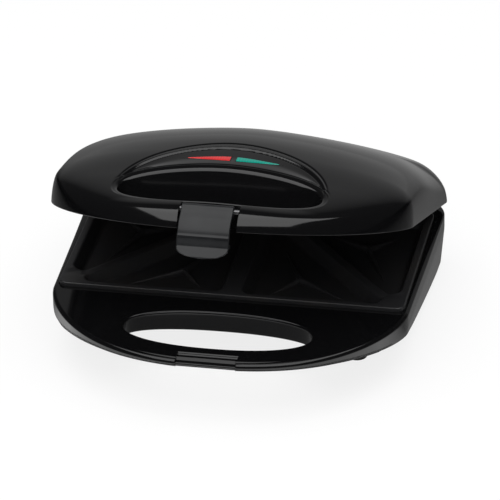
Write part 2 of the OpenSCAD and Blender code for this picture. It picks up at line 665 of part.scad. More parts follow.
module lid_housing() color([0.035, 0.035, 0.04]) turned_up() difference() {
  union() {
    difference() {
      dome(0);
      difference() {
        dome(wall, 5);
        translate([0, lid_cy, 0]) prism(oval(lid_grip_w + wall, lid_grip_d / 2 + wall), 0, reach);
        box(-recess_hw - recess_wall, recess_hw + recess_wall, -reach, bar_block_y + wall, 0, reach);
        above_panel(wall, wall);
      }
      above_panel(0, 0);
      translate([0, lid_cy, 0]) prism(oval(lid_grip_w, lid_grip_d / 2), 0, reach);
      box(-recess_hw, recess_hw, -reach, bar_block_y, 0, reach);
      for (s = [0, 1]) at_lens() translate([0, 0, -12]) linear_extrude(30) lens_outline(s);
      box(-sleeve_x - 5, sleeve_x + 5, lid_rear - wall - 4, reach, 0, lip_z + 12.6);
      knuckle_room();
    }
    lid_lugs();
    both_sides() for (p = frame_post) translate([p[0], p[1], frame_ledge + ledge_t + 0.1])
      cylinder(r = 4, h = 14);
  }
  both_sides() {
    along_x(barrel_x - 20, barrel_x + 20, hinge_y, hinge_z, hinge_pin_r);
    for (p = frame_post) translate([p[0], p[1], frame_ledge]) cylinder(r = 1.5, h = 14);
  }
  along_x(-recess_hw - 3.5, recess_hw + 3.5, latch_y, latch_z, latch_pin_d / 2);
}
module lid_inner_frame() color([0.05, 0.05, 0.055]) turned_up() difference() {
  union() {
    difference() {
      intersection() {
        dome(wall + fit, 5);
        box(-reach, reach, -reach, reach, frame_low, frame_ledge + ledge_t);
      }
      translate([0, plate_cy, 0]) rounded_rect(plate_hw + plate_fit, plate_hd + plate_fit,
        plate_r, 0, frame_ledge);
      translate([0, plate_cy, 0])
        rounded_rect(plate_hw - ledge_w + 0.4, plate_hd - ledge_w + 0.4, plate_r, 0, reach);
      box(-reach, reach, -reach, plate_y0 - ledge_w, frame_low + deck_t, reach);
      both_sides() box(plate_hw - 0.1, reach, plate_y0 + 6, reach, 0, frame_ledge);
    }
    both_sides() for (y = [boss_y0, boss_y1]) translate([0, y - ear_w / 2, 0]) {
      box(tray_x + 1, ear_x, 0, ear_w, upper_back + 0.4, upper_back + tray_gap);
      box(tray_x + 1, plate_hw - 0.5, 0, ear_w, upper_back + 0.4, upper_back + 3);
      box(plate_hw - block_in + 0.4, plate_hw - 0.5, 0, ear_w, frame_ledge, upper_back + 3);
    }
    both_sides() for (p = frame_post) translate([p[0], p[1], frame_low])
      cylinder(r = 5, h = frame_ledge + ledge_t - frame_low);
  }
  translate([0, lid_cy, 0]) prism(oval(lid_grip_w + wall + fit, lid_grip_d / 2 + wall + fit), 0, reach);
  bar_hw = recess_hw + recess_wall + fit;
  box(-bar_hw, bar_hw, -reach, bar_block_y + wall + fit, 0, reach);
  both_sides() {
    box(barrel_x - barrel_w / 2 - fit, barrel_x + barrel_w / 2 + fit,
      lid_rear - wall - 1 - fit, reach, 0, reach);
    for (p = frame_post) translate([p[0], p[1], 0]) cylinder(r = 1.8, h = reach);
  }
  box(-sleeve_x - 5, sleeve_x + 5, lid_rear - 14, reach, 0, reach);
  knuckle_room();
}
module lid_frame_screws() color([0.55, 0.55, 0.57]) turned_up()
  both_sides() for (p = frame_post) translate([p[0], p[1], frame_low - 0.1]) {
    translate([0, 0, -1.2]) cylinder(r = 3, h = 1.2 + eps);
    cylinder(r = 1.5 - run, h = 14);
  }
module power_lens() color([0.75, 0.12, 0.12]) lens(1);
module ready_lens() color([0.0, 0.5, 0.42]) lens(0);
module lamp(s) turned_up() at_lens() translate([s * 12, 0, -13]) {
  cylinder(r = 2.4, h = 7);
  translate([0, 0, 7]) sphere(2.4);
}
module power_lamp() color([0.95, 0.5, 0.4]) lamp(-1);
module ready_lamp() color([0.5, 0.9, 0.7]) lamp(1);
module lamp_holder() color([0.85, 0.85, 0.82]) turned_up() at_lens() difference() {
  union() {
    translate([-32, -6, -15]) cube([64, 12, 2]);
    for (x = [-12, 12]) translate([x, 0, -15]) cylinder(r = 4, h = 7);
    for (x = [-31, 31]) translate([x, 0, -15]) cylinder(r = 3, h = 12.4);
  }
  for (x = [-12, 12]) translate([x, 0, -13]) cylinder(r = 2.4 + run, h = 10);
}
module upper_side() { turned_up() translate([0, 0, upper_rim_z]) mirror([0, 0, 1]) children(); }
module upper_plate() color([0.05, 0.05, 0.05]) upper_side() heating_plate();
module upper_element() color([0.3, 0.28, 0.26])
  upper_side() translate([0, 0, -block_t - tube_in - tube_r]) element();
module upper_element_clamps() color([0.7, 0.7, 0.72])
  upper_side() translate([0, 0, -block_t - tube_in - tube_r]) straps();
module upper_reflector() color([0.75, 0.75, 0.77])
  upper_side() translate([0, 0, -block_t - tray_gap]) reflector();
module upper_thermostat() color([0.85, 0.82, 0.75])
  upper_side() translate([0, plate_cy, -block_t]) thermostat();
module upper_plate_screws() color([0.6, 0.6, 0.62]) upper_side()
  for (x = [-boss_x, boss_x], y = [boss_y0, boss_y1])
    translate([x, y, -block_t - tray_gap - tray_t]) screw_up(7);
module lid_wiring() color([0.75, 0.2, 0.15]) turned_up() {
  start = [sleeve_end[0] - 1.5, sleeve_end[1] + 0.5];
  pin_z = upper_back + tube_in + tube_r;
  over_z = upper_back + tray_gap + 6;
  for (s = [-1, 1]) {
    tube([[sleeve_x + 1.5 * s, start[0], start[1]], [s * cold_x * 0.6, start[0] + 1, start[1] + 5],
      [s * cold_x, cold_y + 11, pin_z + 3], [s * cold_x, cold_y + 8.4, pin_z]], 1.1);
    tube([[sleeve_x + 1.2 * s, start[0] + 3, start[1] + 5], [sleeve_x + 4 * s, start[0] + 2, over_z],
      [s * 20, plate_cy + 20, over_z], [s * 16, lens_y + 30, over_z + 3],
      [s * 12, lens_y + 8.5, lens_z - 18]], 1.1);
  }
}
module latch_pin() color([0.6, 0.6, 0.62]) turned_up()
  along_x(-recess_hw - 3.2, recess_hw + 3.2, latch_y, latch_z, latch_pin_d / 2 - run);
module hinge_sleeve_upper() color([0.75, 0.73, 0.68]) turned_up() {
  along_x(0.15, sleeve_x, hinge_y, hinge_z, sleeve_r);
  translate([sleeve_x, hinge_y, hinge_z]) sphere(sleeve_r);
  translate([sleeve_x, hinge_y, hinge_z]) cylinder(r = sleeve_r, h = 10);
  translate([sleeve_x, hinge_y, hinge_z + 10]) sphere(sleeve_r + 0.2);
  translate([sleeve_x, hinge_y, hinge_z + 10]) rotate([sleeve_lean, 0, 0]) cylinder(r = sleeve_r, h = 14);
}

// ---- the latch, drawn locked: a barrel, a face plate, a hook and a flared finger tab
module latch() color([0.16, 0.165, 0.17]) turned_up()
  translate([0, latch_y, latch_z]) rotate([-latch_out, 0, 0]) latch_body();
module latch_body() {
  hw = latch_w / 2;
  front = front_y - latch_y - 0.6 - latch_t;
  back = front + latch_t;
  tip = front_y + notch_in + hook_reach - latch_y;
  top = hook_z - latch_z;
  crease = top + 3;
  low = top - hook_t - tab_len;
  round_z = low + tab_len - 1;
  flare = tan(tab_flare) * tab_len;
  difference() {
    union() {
      along_x(-hw, hw, 0, 0, latch_r);
      translate([-hw, 0, 0]) rotate([90, 0, 90]) linear_extrude(latch_w) polygon([
        [-latch_r, 0], [0, -latch_r], [back, -7.5], [back, top], [tip, top], [tip - 0.6, top - hook_t],
        [back, top - hook_t], [back - flare, low], [front - flare, low], [front, top - hook_t],
        [front, crease], [front - 0.5, crease + 0.8], [front, crease + 1.6], [front, -5]]);
    }
    along_x(-hw - 1, hw + 1, 0, 0, latch_pin_d / 2);
    // the finger tab is rounded below
    both_sides() translate([0, 30, 0]) rotate([90, 0, 0]) linear_extrude(60) polygon(concat(
      [[hw + 1, round_z]], [for (a = [0 : 10 : 90]) [hw * cos(a), round_z + (low - round_z) * sin(a)]],
      [[-eps, low - 1], [hw + 1, low - 1]]));
  }
}

base_housing();
bottom_cover();
lower_plate();
lower_element();
lower_element_clamps();
lower_reflector();
lower_thermostat();
thermal_fuse();
terminal_block();
base_wiring();
cord_gland();
rubber_feet();
lower_plate_screws();
bottom_cover_screws();
hinge_pins();
hinge_sleeve_lower();
lid_housing();
lid_inner_frame();
power_lens();
ready_lens();
lamp_holder();
power_lamp();
ready_lamp();
upper_plate();
upper_element();
upper_element_clamps();
upper_reflector();
upper_thermostat();
upper_plate_screws();
lid_frame_screws();
lid_wiring();
latch_pin();
hinge_sleeve_upper();
latch();
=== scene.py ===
import json
import math

import bpy
import numpy as np
from mathutils import Matrix, Vector
from mathutils.geometry import delaunay_2d_cdt

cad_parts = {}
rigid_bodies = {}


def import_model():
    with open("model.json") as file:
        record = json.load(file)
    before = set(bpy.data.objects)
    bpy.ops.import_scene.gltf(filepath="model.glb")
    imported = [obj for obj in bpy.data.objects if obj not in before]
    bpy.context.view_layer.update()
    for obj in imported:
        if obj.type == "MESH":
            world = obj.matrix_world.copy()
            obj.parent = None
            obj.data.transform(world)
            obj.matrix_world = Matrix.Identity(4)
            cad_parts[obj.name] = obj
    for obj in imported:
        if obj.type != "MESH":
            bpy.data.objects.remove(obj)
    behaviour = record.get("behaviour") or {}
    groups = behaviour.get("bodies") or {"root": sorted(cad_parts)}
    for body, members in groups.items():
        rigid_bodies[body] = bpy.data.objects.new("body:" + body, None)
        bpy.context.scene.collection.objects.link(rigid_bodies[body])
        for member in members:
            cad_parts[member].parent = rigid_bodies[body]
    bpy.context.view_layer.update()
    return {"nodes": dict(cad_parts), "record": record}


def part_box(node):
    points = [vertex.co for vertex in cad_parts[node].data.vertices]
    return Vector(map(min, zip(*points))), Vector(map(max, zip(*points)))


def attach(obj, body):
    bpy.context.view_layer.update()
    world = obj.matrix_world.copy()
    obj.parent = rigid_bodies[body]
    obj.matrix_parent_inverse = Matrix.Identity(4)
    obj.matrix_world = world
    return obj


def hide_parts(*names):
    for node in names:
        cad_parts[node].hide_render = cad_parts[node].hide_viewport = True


bl_info = {
    "name": "Sandwich toaster",
    "version": (1, 0, 0),
    "blender": (4, 5, 0),
    "location": "View3D > Sidebar > Toaster",
    "description": "Builds the looks of a two-slice sandwich toaster round its fixed frame",
    "category": "Object",
}

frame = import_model()

# ---- sizes in millimetres, most of them shared with the frame; +X right, +Y back, +Z up
MM = 1000  # in a metre
UP, DOWN = (0, 0, 1), (0, 0, -1)
BEYOND = 140.0  # outside every outline

# plan of both housings
SHOULDER_W, FLARE, NOSE_D = 115.0, 3.0, 83.0
FRONT_Y, SHOULDER_Y, REAR_Y = -119.0, -36.0, 116.0
CORNER_R, LID_CORNER_R, WALL = 24.0, 15.0, 2.5
SIDE_POWER, NOSE_POWER, GRIP_POWER = 2.4, 1.6, 2.2  # of the ovals that the nose and the grips follow

# base
DECK_H, TIP_T, KEEL_LEN, KEEL_D, KEEL_STRAIGHT = 40.0, 4.6, 197.4, 31.4, 0.75
TUCK, FLANK_Z, FOOT_H = 2.5, 30.0, 4.0
BASE_GRIP, BASE_GRIP_Y = (60.0, 21.8), -77.4
NOTCH_HW, NOTCH_IN = 19.1, 1.8
CATCH_D, CATCH_T, SHELF_D, SHELF_T = 12.0, 2.2, 7.0, 1.6  # recess for the hook and the shelf behind it
FINE_R = 0.9  # edge radius at the catch and along the rear
SEAM = 0.4  # flat strip that joins a rounded edge to the deck
INNER_Z = 34.0  # walls inside the deck end here

# lid
LID_OVER, FRONT_SHARE, LIP_Z, SKIRT_H, DOME_H = 1.2, 7 / 6, 42.4, 1.6, 48.4
LID_FRONT, LID_REAR = -120.4, 107.9
LID_GRIP, LID_CY = (64.5, 21.0), -82.0
RECESS_HW, WEB_Y, CHEEK_W = 18.7, -105.5, 4.5
CREASE_LINE, PANEL_LINE = (67.5, 55.0), (66.0, 49.3)  # half sizes of the fine crease and the panel in it
CREST_SOFT, SECTION_POWER, FLANK_POWER = 0.12, 1.3, 4.1  # cross-section of the dome
REAR_FALL, REAR_POWER = 32.0, 0.3  # its fall to the edge at the rear corners
INLAND = 99.0  # too far from the outline to be rounded off
LID_STEPS, OPENING_STEPS, SIDE_COLUMNS = (900, 300, 120, 200), 1600, 250
NEAR_SHARE, NEAR_MOST, NEAR_CROWD, FAR_CROWD = 0.46, 42.0, 1.15, 2.2  # spacing of the dome's rings
CREST = np.array([[0, .126], [.015, .219], [.041, .298], [.094, .374], [.234, .618], [.365, .839],
                  [.475, .969], [.584, 1], [.715, .94], [.89, .8], [.968, .705], [1, .55]])

# hinge
HINGE_Y, HINGE_Z, LID_OPEN = 110.0, 40.0, 21.3
BARREL_R, BARREL_X, BARREL_W, KNUCKLE_W, SIDE_GAP = 5.6, 71.0, 18.0, 8.0, 0.5
SLEEVE_HW = 12.0
SLEEVE_ROOM, LUG_ROOM = 12.0, 9.0  # left free by the lid's lip over the fibre sleeve and beside a barrel

# heating plates
PLATE_HW, PLATE_HD, PLATE_CY, PLATE_R = 112.0, 64.5, 27.5, 5.0
RIM_Z, UPPER_RIM_Z, FLANGE_T, BLOCK_T, BLOCK_IN = 42.6, 43.0, 4.2, 12.6, 3.0
POCKET_W, POCKET_L, POCKET_D, LAND_W, RIDGE_W = 101.0, 121.0, 10.0, 12.0, 6.0
CORE_IN = 6.0  # from a pocket's upper edge to the triangle that its walls are drawn round
LIP_OUT, ROOT_OUT, FLOOR_OUT = 8.2, 2.5, 0.4  # from that triangle to the rim, a wall's foot and the floor
RIDGE_DROP, RIDGE_ENDS, RIDGE_SIDES, PLATE_EDGE_R = 1.4, (9, 17), (7.2, 8.2), 0.9
STAR_REACH, STAR_HW, STAR_H, STAR_SUNK = 0.66, 1.9, 3.7, 0.25

# latch, round its pin
LATCH_Y, LATCH_Z, LATCH_LEFT, LATCH_RIGHT = -111.4, 53.9, -17.5, 15.3
LATCH_OUT, LATCH_REACH, LATCH_BARREL_R = 8.0, 1.2, 3.5
TAB_ROUND_Z, TAB_TIP_Z = -22.9, -29.0

# lamp lenses
LENS_X, LENS_Y, LENS_LEN, LENS_HALF, LENS_GAP = 1.6, -47.0, 27.2, 3.1, 2.0
SEAT_GROW, SEAT_TAIL = 0.55, 4.5

# spans that the hinge barrels and the fibre sleeve cut out of the deck's rear: x, x, front y, floor z
POCKET_X = (BARREL_X - BARREL_W / 2 - SIDE_GAP, BARREL_X + BARREL_W / 2 + SIDE_GAP)
REAR_POCKETS = ((*POCKET_X, 102.4, 33.8), (-POCKET_X[1], -POCKET_X[0], 102.4, 33.8),
                (-SLEEVE_HW, SLEEVE_HW, PLATE_CY + PLATE_HD + 4, HINGE_Z - 4))

# camera: degrees to the right, down and rolled; metres from the point it aims at, and its shift from there
CAMERA_TURN, CAMERA_TILT, CAMERA_ROLL = 11.38, 29.11, 1.19
CAMERA_AWAY, CAMERA_RIGHT, CAMERA_UP, CAMERA_AIM = 2.990, 0.003643, 0.006815, (0, 0.0131, 0.040)

# floor in metres, and how much of its own white the eye sees over the shadow
FLOOR_R, FLOOR_SIDES, FLOOR_Z, FLOOR_WHITE = 14.0, 96, -0.0002, 0.82
# what reflections see: a painted strip of light on the floor, the sweep behind, a painted pool of light on
# the floor nearby and the room
PAINTED_STRIP_R, PAINTED_STRIP_NARROW, PAINTED_STRIP_FADE = 0.175, 400.0, -18.0
SWEEP_FROM, SWEEP_LEVEL, PAINTED_POOL_FADE, PAINTED_POOL_LEVEL = 0.72, 0.34, 1.4, 0.26
BACKDROP_FROM, BACKDROP_FADE, ROOM_LEVEL = 0.75, 4.0, 0.03
WHITE = (1, 1, 1, 1)


# ---- properties
def length_setting(name, description, metres):
    return bpy.props.FloatProperty(name=name, description=description, default=metres, unit="LENGTH")


def power_setting(name, description, watts):
    return bpy.props.FloatProperty(name=name, description=description, default=watts, unit="POWER")


def colour_setting(name, description, *rgb):
    return bpy.props.FloatVectorProperty(name=name, description=description, default=rgb, subtype="COLOR")


class ToasterSizes(bpy.types.PropertyGroup):
    deck_edge: length_setting("Deck edge", "Radius along the edge of the deck", 0.0024)
    grip_edge: length_setting("Grip edge", "Radius round the top of the base's grip hole", 0.0018)
    lid_edge: length_setting("Lid edge", "Radius where the dome meets the upright front and rear", 0.003)
    rim_width: length_setting("Grip rim", "Width of the sloping rim round the lid's grip opening", 0.0042)
    rim_drop: length_setting("Grip rim drop", "Fall of that rim towards the opening", 0.0022)
    panel_step: length_setting("Panel step", "Step down into the scooped panel", 0.0009)
    panel_bowl: length_setting("Panel bowl", "Extra depth in the middle of the panel", 0.0003)
    recess_edge: length_setting("Recess edge", "Radius along the edges of the latch recess", 0.0006)
    latch_edge: length_setting("Latch edge", "Radius at the two sides of the latch", 0.0007)
    pocket_lip: length_setting("Pocket lip", "Radius along a pocket's upper edge", 0.0012)
    pocket_root: length_setting("Pocket root", "Radius along a pocket's floor", 0.0022)


class ToasterColours(bpy.types.PropertyGroup):
    housing: colour_setting("Housing", "Gloss plastic of both housings", 0.003, 0.003, 0.0033)
    satin: colour_setting("Latch", "Satin plastic of the latch", 0.007, 0.0076, 0.0085)
    cover: colour_setting("Cover", "Grained plastic of the bottom cover", 0.018, 0.018, 0.02)
    coating: colour_setting("Coating", "Coating of the heating plates", 0.014, 0.014, 0.015)
    red: colour_setting("Power lens", "Lens of the power lamp", 0.50, 0.024, 0.026)
    green: colour_setting("Ready lens", "Lens of the ready lamp", 0.0, 0.235, 0.175)
    floor: colour_setting("Floor", "Plain floor", 0.86, 0.86, 0.86)


class StudioSettings(bpy.types.PropertyGroup):
    top_power: power_setting("Top softbox", "Power of the large softbox overhead", 68.0)
    fill_power: power_setting("Front fill", "Power of the fill lamp that reaches under the lid", 9.0)
    fill: bpy.props.FloatProperty(
        name="Room fill", description="Brightness of the room on matt surfaces", default=0.40)
    backdrop: bpy.props.FloatProperty(
        name="Backdrop in reflections", description="How bright glossy surfaces see the backdrop",
        default=0.42)
    # brightness of the painted strip of light that glossy surfaces see on the floor in front
    floor_shine: bpy.props.FloatProperty(
        name="Floor in reflections", description="How bright glossy surfaces see the floor in front",
        default=1.6)
    lens_mm: bpy.props.FloatProperty(
        name="Lens", description="Focal length of the camera in millimetres", default=333.9)


def colours():
    return bpy.context.scene.toaster_colours


# ---- mesh helpers, in millimetres with the lid drawn shut
def unit(v):
    return v / np.maximum(np.linalg.norm(v, axis=-1, keepdims=True), 1e-12)


def at_height(xy, z):
    """Plan points, all at one height or each at its own."""
    return np.column_stack([xy[:, :2], np.zeros(len(xy)) + z])


def away_from(x, y, sign=1, up=0):
    """Tells grid to face a patch away from an upright line, or towards it with sign -1."""
    return lambda c: np.column_stack([sign * (c[:, 0] - x), sign * (c[:, 1] - y), np.full(len(c), up)])


def inside(loop, xy):
    """Which points lie inside a closed plan loop."""
    loop = np.asarray(loop)[:, :2]
    x, y = xy[:, 0][:, None], xy[:, 1][:, None]
    x0, y0 = loop[:, 0], loop[:, 1]
    x1, y1 = np.roll(x0, -1), np.roll(y0, -1)
    with np.errstate(divide="ignore", invalid="ignore"):
        cross = ((y0 > y) != (y1 > y)) & (x < (x1 - x0) * (y - y0) / (y1 - y0) + x0)
    return cross.sum(1) % 2 == 1


def between(loops, xy):
    """Which points lie inside the first loop and outside the others."""
    keep = inside(loops[0], xy)
    for loop in loops[1:]:
        keep &= ~inside(loop, xy)
    return keep


class Piece:
    """Gathers patches of mesh and turns them into one object."""

    def __init__(self):
        self.verts, self.faces, self.smooth, self.count = [], [], [], 0

    def add(self, pts, faces, smooth):
        self.verts.append(pts)
        self.faces += [tuple(int(i) + self.count for i in f) for f in faces]
        self.smooth += [smooth] * len(faces)
        self.count += len(pts)

    def grid(self, pts, towards, closed=False, smooth=True):
        """A patch from points [u, v], closed along u or open. Its faces look towards a vector, or towards
        what a function gives for their middles."""
        pts = np.asarray(pts, float)
        nu, nv = pts.shape[:2]
        i, j = np.meshgrid(np.arange(nu if closed else nu - 1), np.arange(nv - 1), indexing="ij")
        near, far = i * nv + j, (i + 1) % nu * nv + j
        quads = np.stack([near, far, far + 1, near + 1], -1).reshape(-1, 4)
        flat = pts.reshape(-1, 3)
        cross = np.cross(flat[quads[:, 2]] - flat[quads[:, 0]], flat[quads[:, 3]] - flat[quads[:, 1]])
        hint = towards(flat[quads].mean(1)) if callable(towards) else towards
        if (cross * hint).sum() < 0:
            quads = quads[:, ::-1]
        self.add(flat, quads[np.linalg.norm(cross, axis=1) > 1e-7], smooth)

    def loft(self, rows, towards):
        """A closed patch through loops of as many points each."""
        self.grid(np.stack(rows, 1), towards, closed=True)

    def fill(self, loops, height, up=1, smooth=False, keep=None):
        """Fills the area inside the first plan loop and outside the others, or where keep says so.
        The height is a number or a function of the plan points."""
        xy, edges = [], []
        for loop in loops:
            n = len(xy)
            xy += [Vector((float(p[0]), float(p[1]))) for p in loop]
            edges += [(n + k, n + (k + 1) % len(loop)) for k in range(len(loop))]
        out, _, tris, *_ = delaunay_2d_cdt(xy, edges, [], 0, 1e-5)
        out = np.array([[v.x, v.y] for v in out])
        tris = np.array(tris)
        mid = out[tris].mean(1)
        area = np.cross(out[tris[:, 1]] - out[tris[:, 0]], out[tris[:, 2]] - out[tris[:, 0]])
        tris = np.where((area * up > 0)[:, None], tris, tris[:, ::-1])
        wanted = keep(mid) if keep else between(loops, mid)
        z = height(out) if callable(height) else height
        self.add(at_height(out, z), tris[wanted & (np.abs(area) > 1e-6)], smooth)

    def make(self, name, body, slot, finish, nodes=(), place=None):
        """One object without unused points, put in its place, riding its body."""
        pts = np.concatenate(self.verts)
        used = np.zeros(len(pts), bool)
        used[[i for f in self.faces for i in f]] = True
        index = np.cumsum(used) - 1
        pts = pts[used] if place is None else place(pts[used])
        mesh = bpy.data.meshes.new(name)
        mesh.from_pydata((pts / MM).tolist(), [], [tuple(int(index[i]) for i in f) for f in self.faces])
        mesh.polygons.foreach_set("use_smooth", self.smooth)
        mesh.materials.append(finish)
        mesh.update()
        obj = link(name, mesh)
        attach(obj, body)
        if nodes:
            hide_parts(*nodes)


def turn_about(y, z, degrees):
    """Turns points about an X axis through (y, z), front upwards."""
    a = math.radians(-degrees)
    c, s = math.cos(a), math.sin(a)

    def turn(p):
        dy, dz = p[:, 1] - y, p[:, 2] - z
        return np.column_stack([p[:, 0], y + dy * c - dz * s, z + dy * s + dz * c])
    return turn


raise_lid = turn_about(HINGE_Y, HINGE_Z, LID_OPEN)


# ---- outlines and profiles
def half_outline(over, rear, r, steps):
    """Right half of the plan from the front's middle to the rear's middle, with its steps along the nose,
    the side, the corner and the rear."""
    nose, side, corner, back = steps
    w, d = SHOULDER_W + over, NOSE_D + FRONT_SHARE * over
    t = np.radians(90 * (np.arange(nose + 1) / nose) ** 1.15)  # closer together at the middle
    pts = [np.column_stack([w * np.sin(t) ** (2 / SIDE_POWER),
                            SHOULDER_Y - d * np.cos(t).clip(0) ** (2 / NOSE_POWER)])]
    k = np.linspace(0, 1, side + 1)[1:]
    pts.append(np.column_stack([w + FLARE * k, SHOULDER_Y + (rear - r - SHOULDER_Y) * k]))
    a = np.radians(np.linspace(0, 90, corner + 1))[1:]
    pts.append(np.column_stack([w + FLARE - r + r * np.cos(a), rear - r + r * np.sin(a)]))
    x = np.linspace(w + FLARE - r, 0, back + 1)[1:]
    pts.append(np.column_stack([x, np.full(back, rear)]))
    return np.concatenate(pts)


def both_halves(half):
    """A closed loop from a right half that starts and ends on the middle plane."""
    return np.concatenate([half, half[-2:0:-1] * [-1, 1]])


def outward(loop):
    """Outward unit normals of a closed plan loop that runs anticlockwise."""
    d = np.roll(loop, -1, 0) - np.roll(loop, 1, 0)
    return unit(np.column_stack([d[:, 1], -d[:, 0]]))


def oval_half(size, cy, n):
    """Right half of a grip's oval from front to rear in n steps."""
    a = np.radians(np.linspace(-90, 90, n + 1))
    c, s = np.cos(a), np.sin(a)
    return np.column_stack([size[0] * np.abs(c) ** (2 / GRIP_POWER) * (c > 1e-9),
                            cy + size[1] * np.sign(s) * np.abs(s) ** (2 / GRIP_POWER)])


def rounded_rect(hw, hd, cy, r, n, side):
    """A closed loop with n steps round each corner and side steps between corners."""
    a = np.radians(np.linspace(0, 90, n + 1))
    quarter = np.column_stack([hw - r + r * np.cos(a), hd - r + r * np.sin(a)])
    corners = [quarter, (quarter * [-1, 1])[::-1], quarter * [-1, -1], (quarter * [1, -1])[::-1]]
    loop = []
    for here, after in zip(corners, corners[1:] + corners[:1]):
        loop += [here, np.linspace(here[-1], after[0], side + 1)[1:-1]]
    return np.concatenate(loop) + [0, cy]


def plan_box(x0, x1, y0, y1):
    return np.array([[x0, y0], [x1, y0], [x1, y1], [x0, y1]])


def round_over(r, degrees=range(0, 91, 15)):
    """(inset, drop) pairs down a rounded edge, from its flat top to its upright side."""
    return [(r * (1 - math.sin(a)), r * (1 - math.cos(a))) for a in np.radians(degrees)]


def rounding(away, r):
    """Drop of a rounded edge at a distance inwards from it."""
    k = np.clip(1 - away / r, 0, 1)
    return r * (1 - np.sqrt(1 - k * k))


def groove(away, at, half, depth):
    """Depth of a soft groove, at a distance from the line that it follows."""
    return depth * np.exp(-((away - at) / half) ** 2)


def step(x, lo, hi):
    """Smooth step from 0 at lo to 1 at hi."""
    t = np.clip((x - lo) / (hi - lo), 0, 1)
    return t * t * (3 - 2 * t)


def keel_z(y):
    """Height of the base's swept underside."""
    u = np.clip((y - FRONT_Y) / KEEL_LEN, 0, 1)
    return DECK_H - TIP_T - KEEL_D * (KEEL_STRAIGHT * u + (1 - KEEL_STRAIGHT) / 2 * (1 - np.cos(np.pi * u)))


def tucked(pts, inset):
    """Draws the flanks in towards the floor, as the frame's base does."""
    lean = TUCK * np.clip((FLANK_Z - pts[:, 2]) / (FLANK_Z - FOOT_H), 0, None)
    return pts * np.column_stack([1 - lean / (SHOULDER_W + FLARE - inset), np.ones((len(pts), 2))])


def crest_z(y):
    """Height of the dome's middle line above the lip: a smooth curve through CREST."""
    x = np.clip((y - LID_FRONT) / (LID_REAR - LID_FRONT), 0, 1)
    px, pz = CREST[:, 0], CREST[:, 1]
    n = len(px)
    lo, hi = np.maximum(np.arange(n) - 1, 0), np.minimum(np.arange(n) + 1, n - 1)
    m = (pz[hi] - pz[lo]) / (px[hi] - px[lo])
    i = np.clip(np.searchsorted(px, x, side="right") - 1, 0, n - 2)
    h = px[i + 1] - px[i]
    t = (x - px[i]) / h
    return DOME_H * (pz[i] * (1 + 2 * t) * (1 - t) ** 2 + m[i] * h * t * (1 - t) ** 2
                     + pz[i + 1] * t * t * (3 - 2 * t) + m[i + 1] * h * t * t * (t - 1))


def half_width(y):
    """Half width of the lid at a distance along its depth."""
    w, d, r = SHOULDER_W + LID_OVER, NOSE_D + FRONT_SHARE * LID_OVER, LID_CORNER_R
    nose = np.clip((SHOULDER_Y - y) / d, 0, 1)
    front = w * (1 - nose ** NOSE_POWER).clip(1e-9) ** (1 / SIDE_POWER)
    k = np.clip((y - SHOULDER_Y) / (LID_REAR - r - SHOULDER_Y), 0, 1)
    back = np.clip(y - (LID_REAR - r), 0, r - 1e-6)
    return np.where(y < SHOULDER_Y, front, w + FLARE * k - r + np.sqrt(r * r - back * back))


def oval_reach(x, y, size, p):
    """Distance outwards from an oval round the lid's grip, near enough, and negative inside it."""
    ax, ay = np.abs(x) / size[0], np.abs(y - LID_CY) / size[1]
    f = (ax ** p + ay ** p) ** (1 / p)
    g = np.hypot(ax ** (p - 1) / size[0], ay ** (p - 1) / size[1]) / np.maximum(f, 1e-9) ** (p - 1)
    return (f - 1) / np.maximum(g, 1e-9)


def dome_top(x, y, edge, radius):
    """Height of the plain dome. edge is the distance to its outline, which radius rounds off."""
    def section(u):
        return (u * u + CREST_SOFT ** 2) ** (SECTION_POWER / 2) - CREST_SOFT ** SECTION_POWER
    u = np.clip(np.abs(x) / half_width(y), 0, 1)
    f = np.clip(1 - section(u) / section(1), 0, 1) ** (1 / FLANK_POWER)
    e = (1 - (1 - np.clip(edge / radius, 0, 1)) ** 3) ** (1 / 3)
    rear = 1 - (1 - np.clip(edge / REAR_FALL, 0, 1)) ** 2
    e = e * rear ** (REAR_POWER * step(y, 0, 100) * step(np.abs(x), 30, 112))
    return LIP_Z + SKIRT_H + (crest_z(y) - SKIRT_H) * f * e


def lid_top(x, y, edge, s):
    """Height of the lid with its scooped panel, creases and grip rim."""
    z = dome_top(x, y, edge, s.lid_edge * MM)
    behind = step(y, LID_CY + 1, LID_CY + 16)
    outer = -oval_reach(x, y, CREASE_LINE, 2.0)
    inner = -oval_reach(x, y, PANEL_LINE, 2.0)
    grip = oval_reach(x, y, LID_GRIP, GRIP_POWER)
    rim = s.rim_width * MM
    # fine crease along the outer line, band, then the step down to the panel and its shallow bowl
    z = z - behind * (groove(outer, 0.3, 0.45, 0.55) + 0.2 * step(outer, 0, 0.9))
    fall = s.panel_step * MM * step(inner, -0.3, 0.7) + groove(inner, 0.6, 0.5, 0.55)
    away = np.clip(grip - rim, 0, None)
    share = np.clip(inner / np.maximum(inner + away, 1e-6), 0, 1)
    bowl = s.panel_bowl * MM * np.sin(np.pi * share) * (inner > 0)
    back_up = 0.7 * step(share, 0.45, 1.0) * (inner > 0)
    z = z - behind * (fall + bowl - back_up + groove(grip - rim, 0.45, 0.4, 0.45))
    # rim round the opening: a convex fall
    t = np.clip(1 - grip / rim, 0, 1)
    return z - s.rim_drop * MM * (1 - np.sqrt(1 - t * t * 0.98)) - 0.35 * step(t, 0, 0.25)


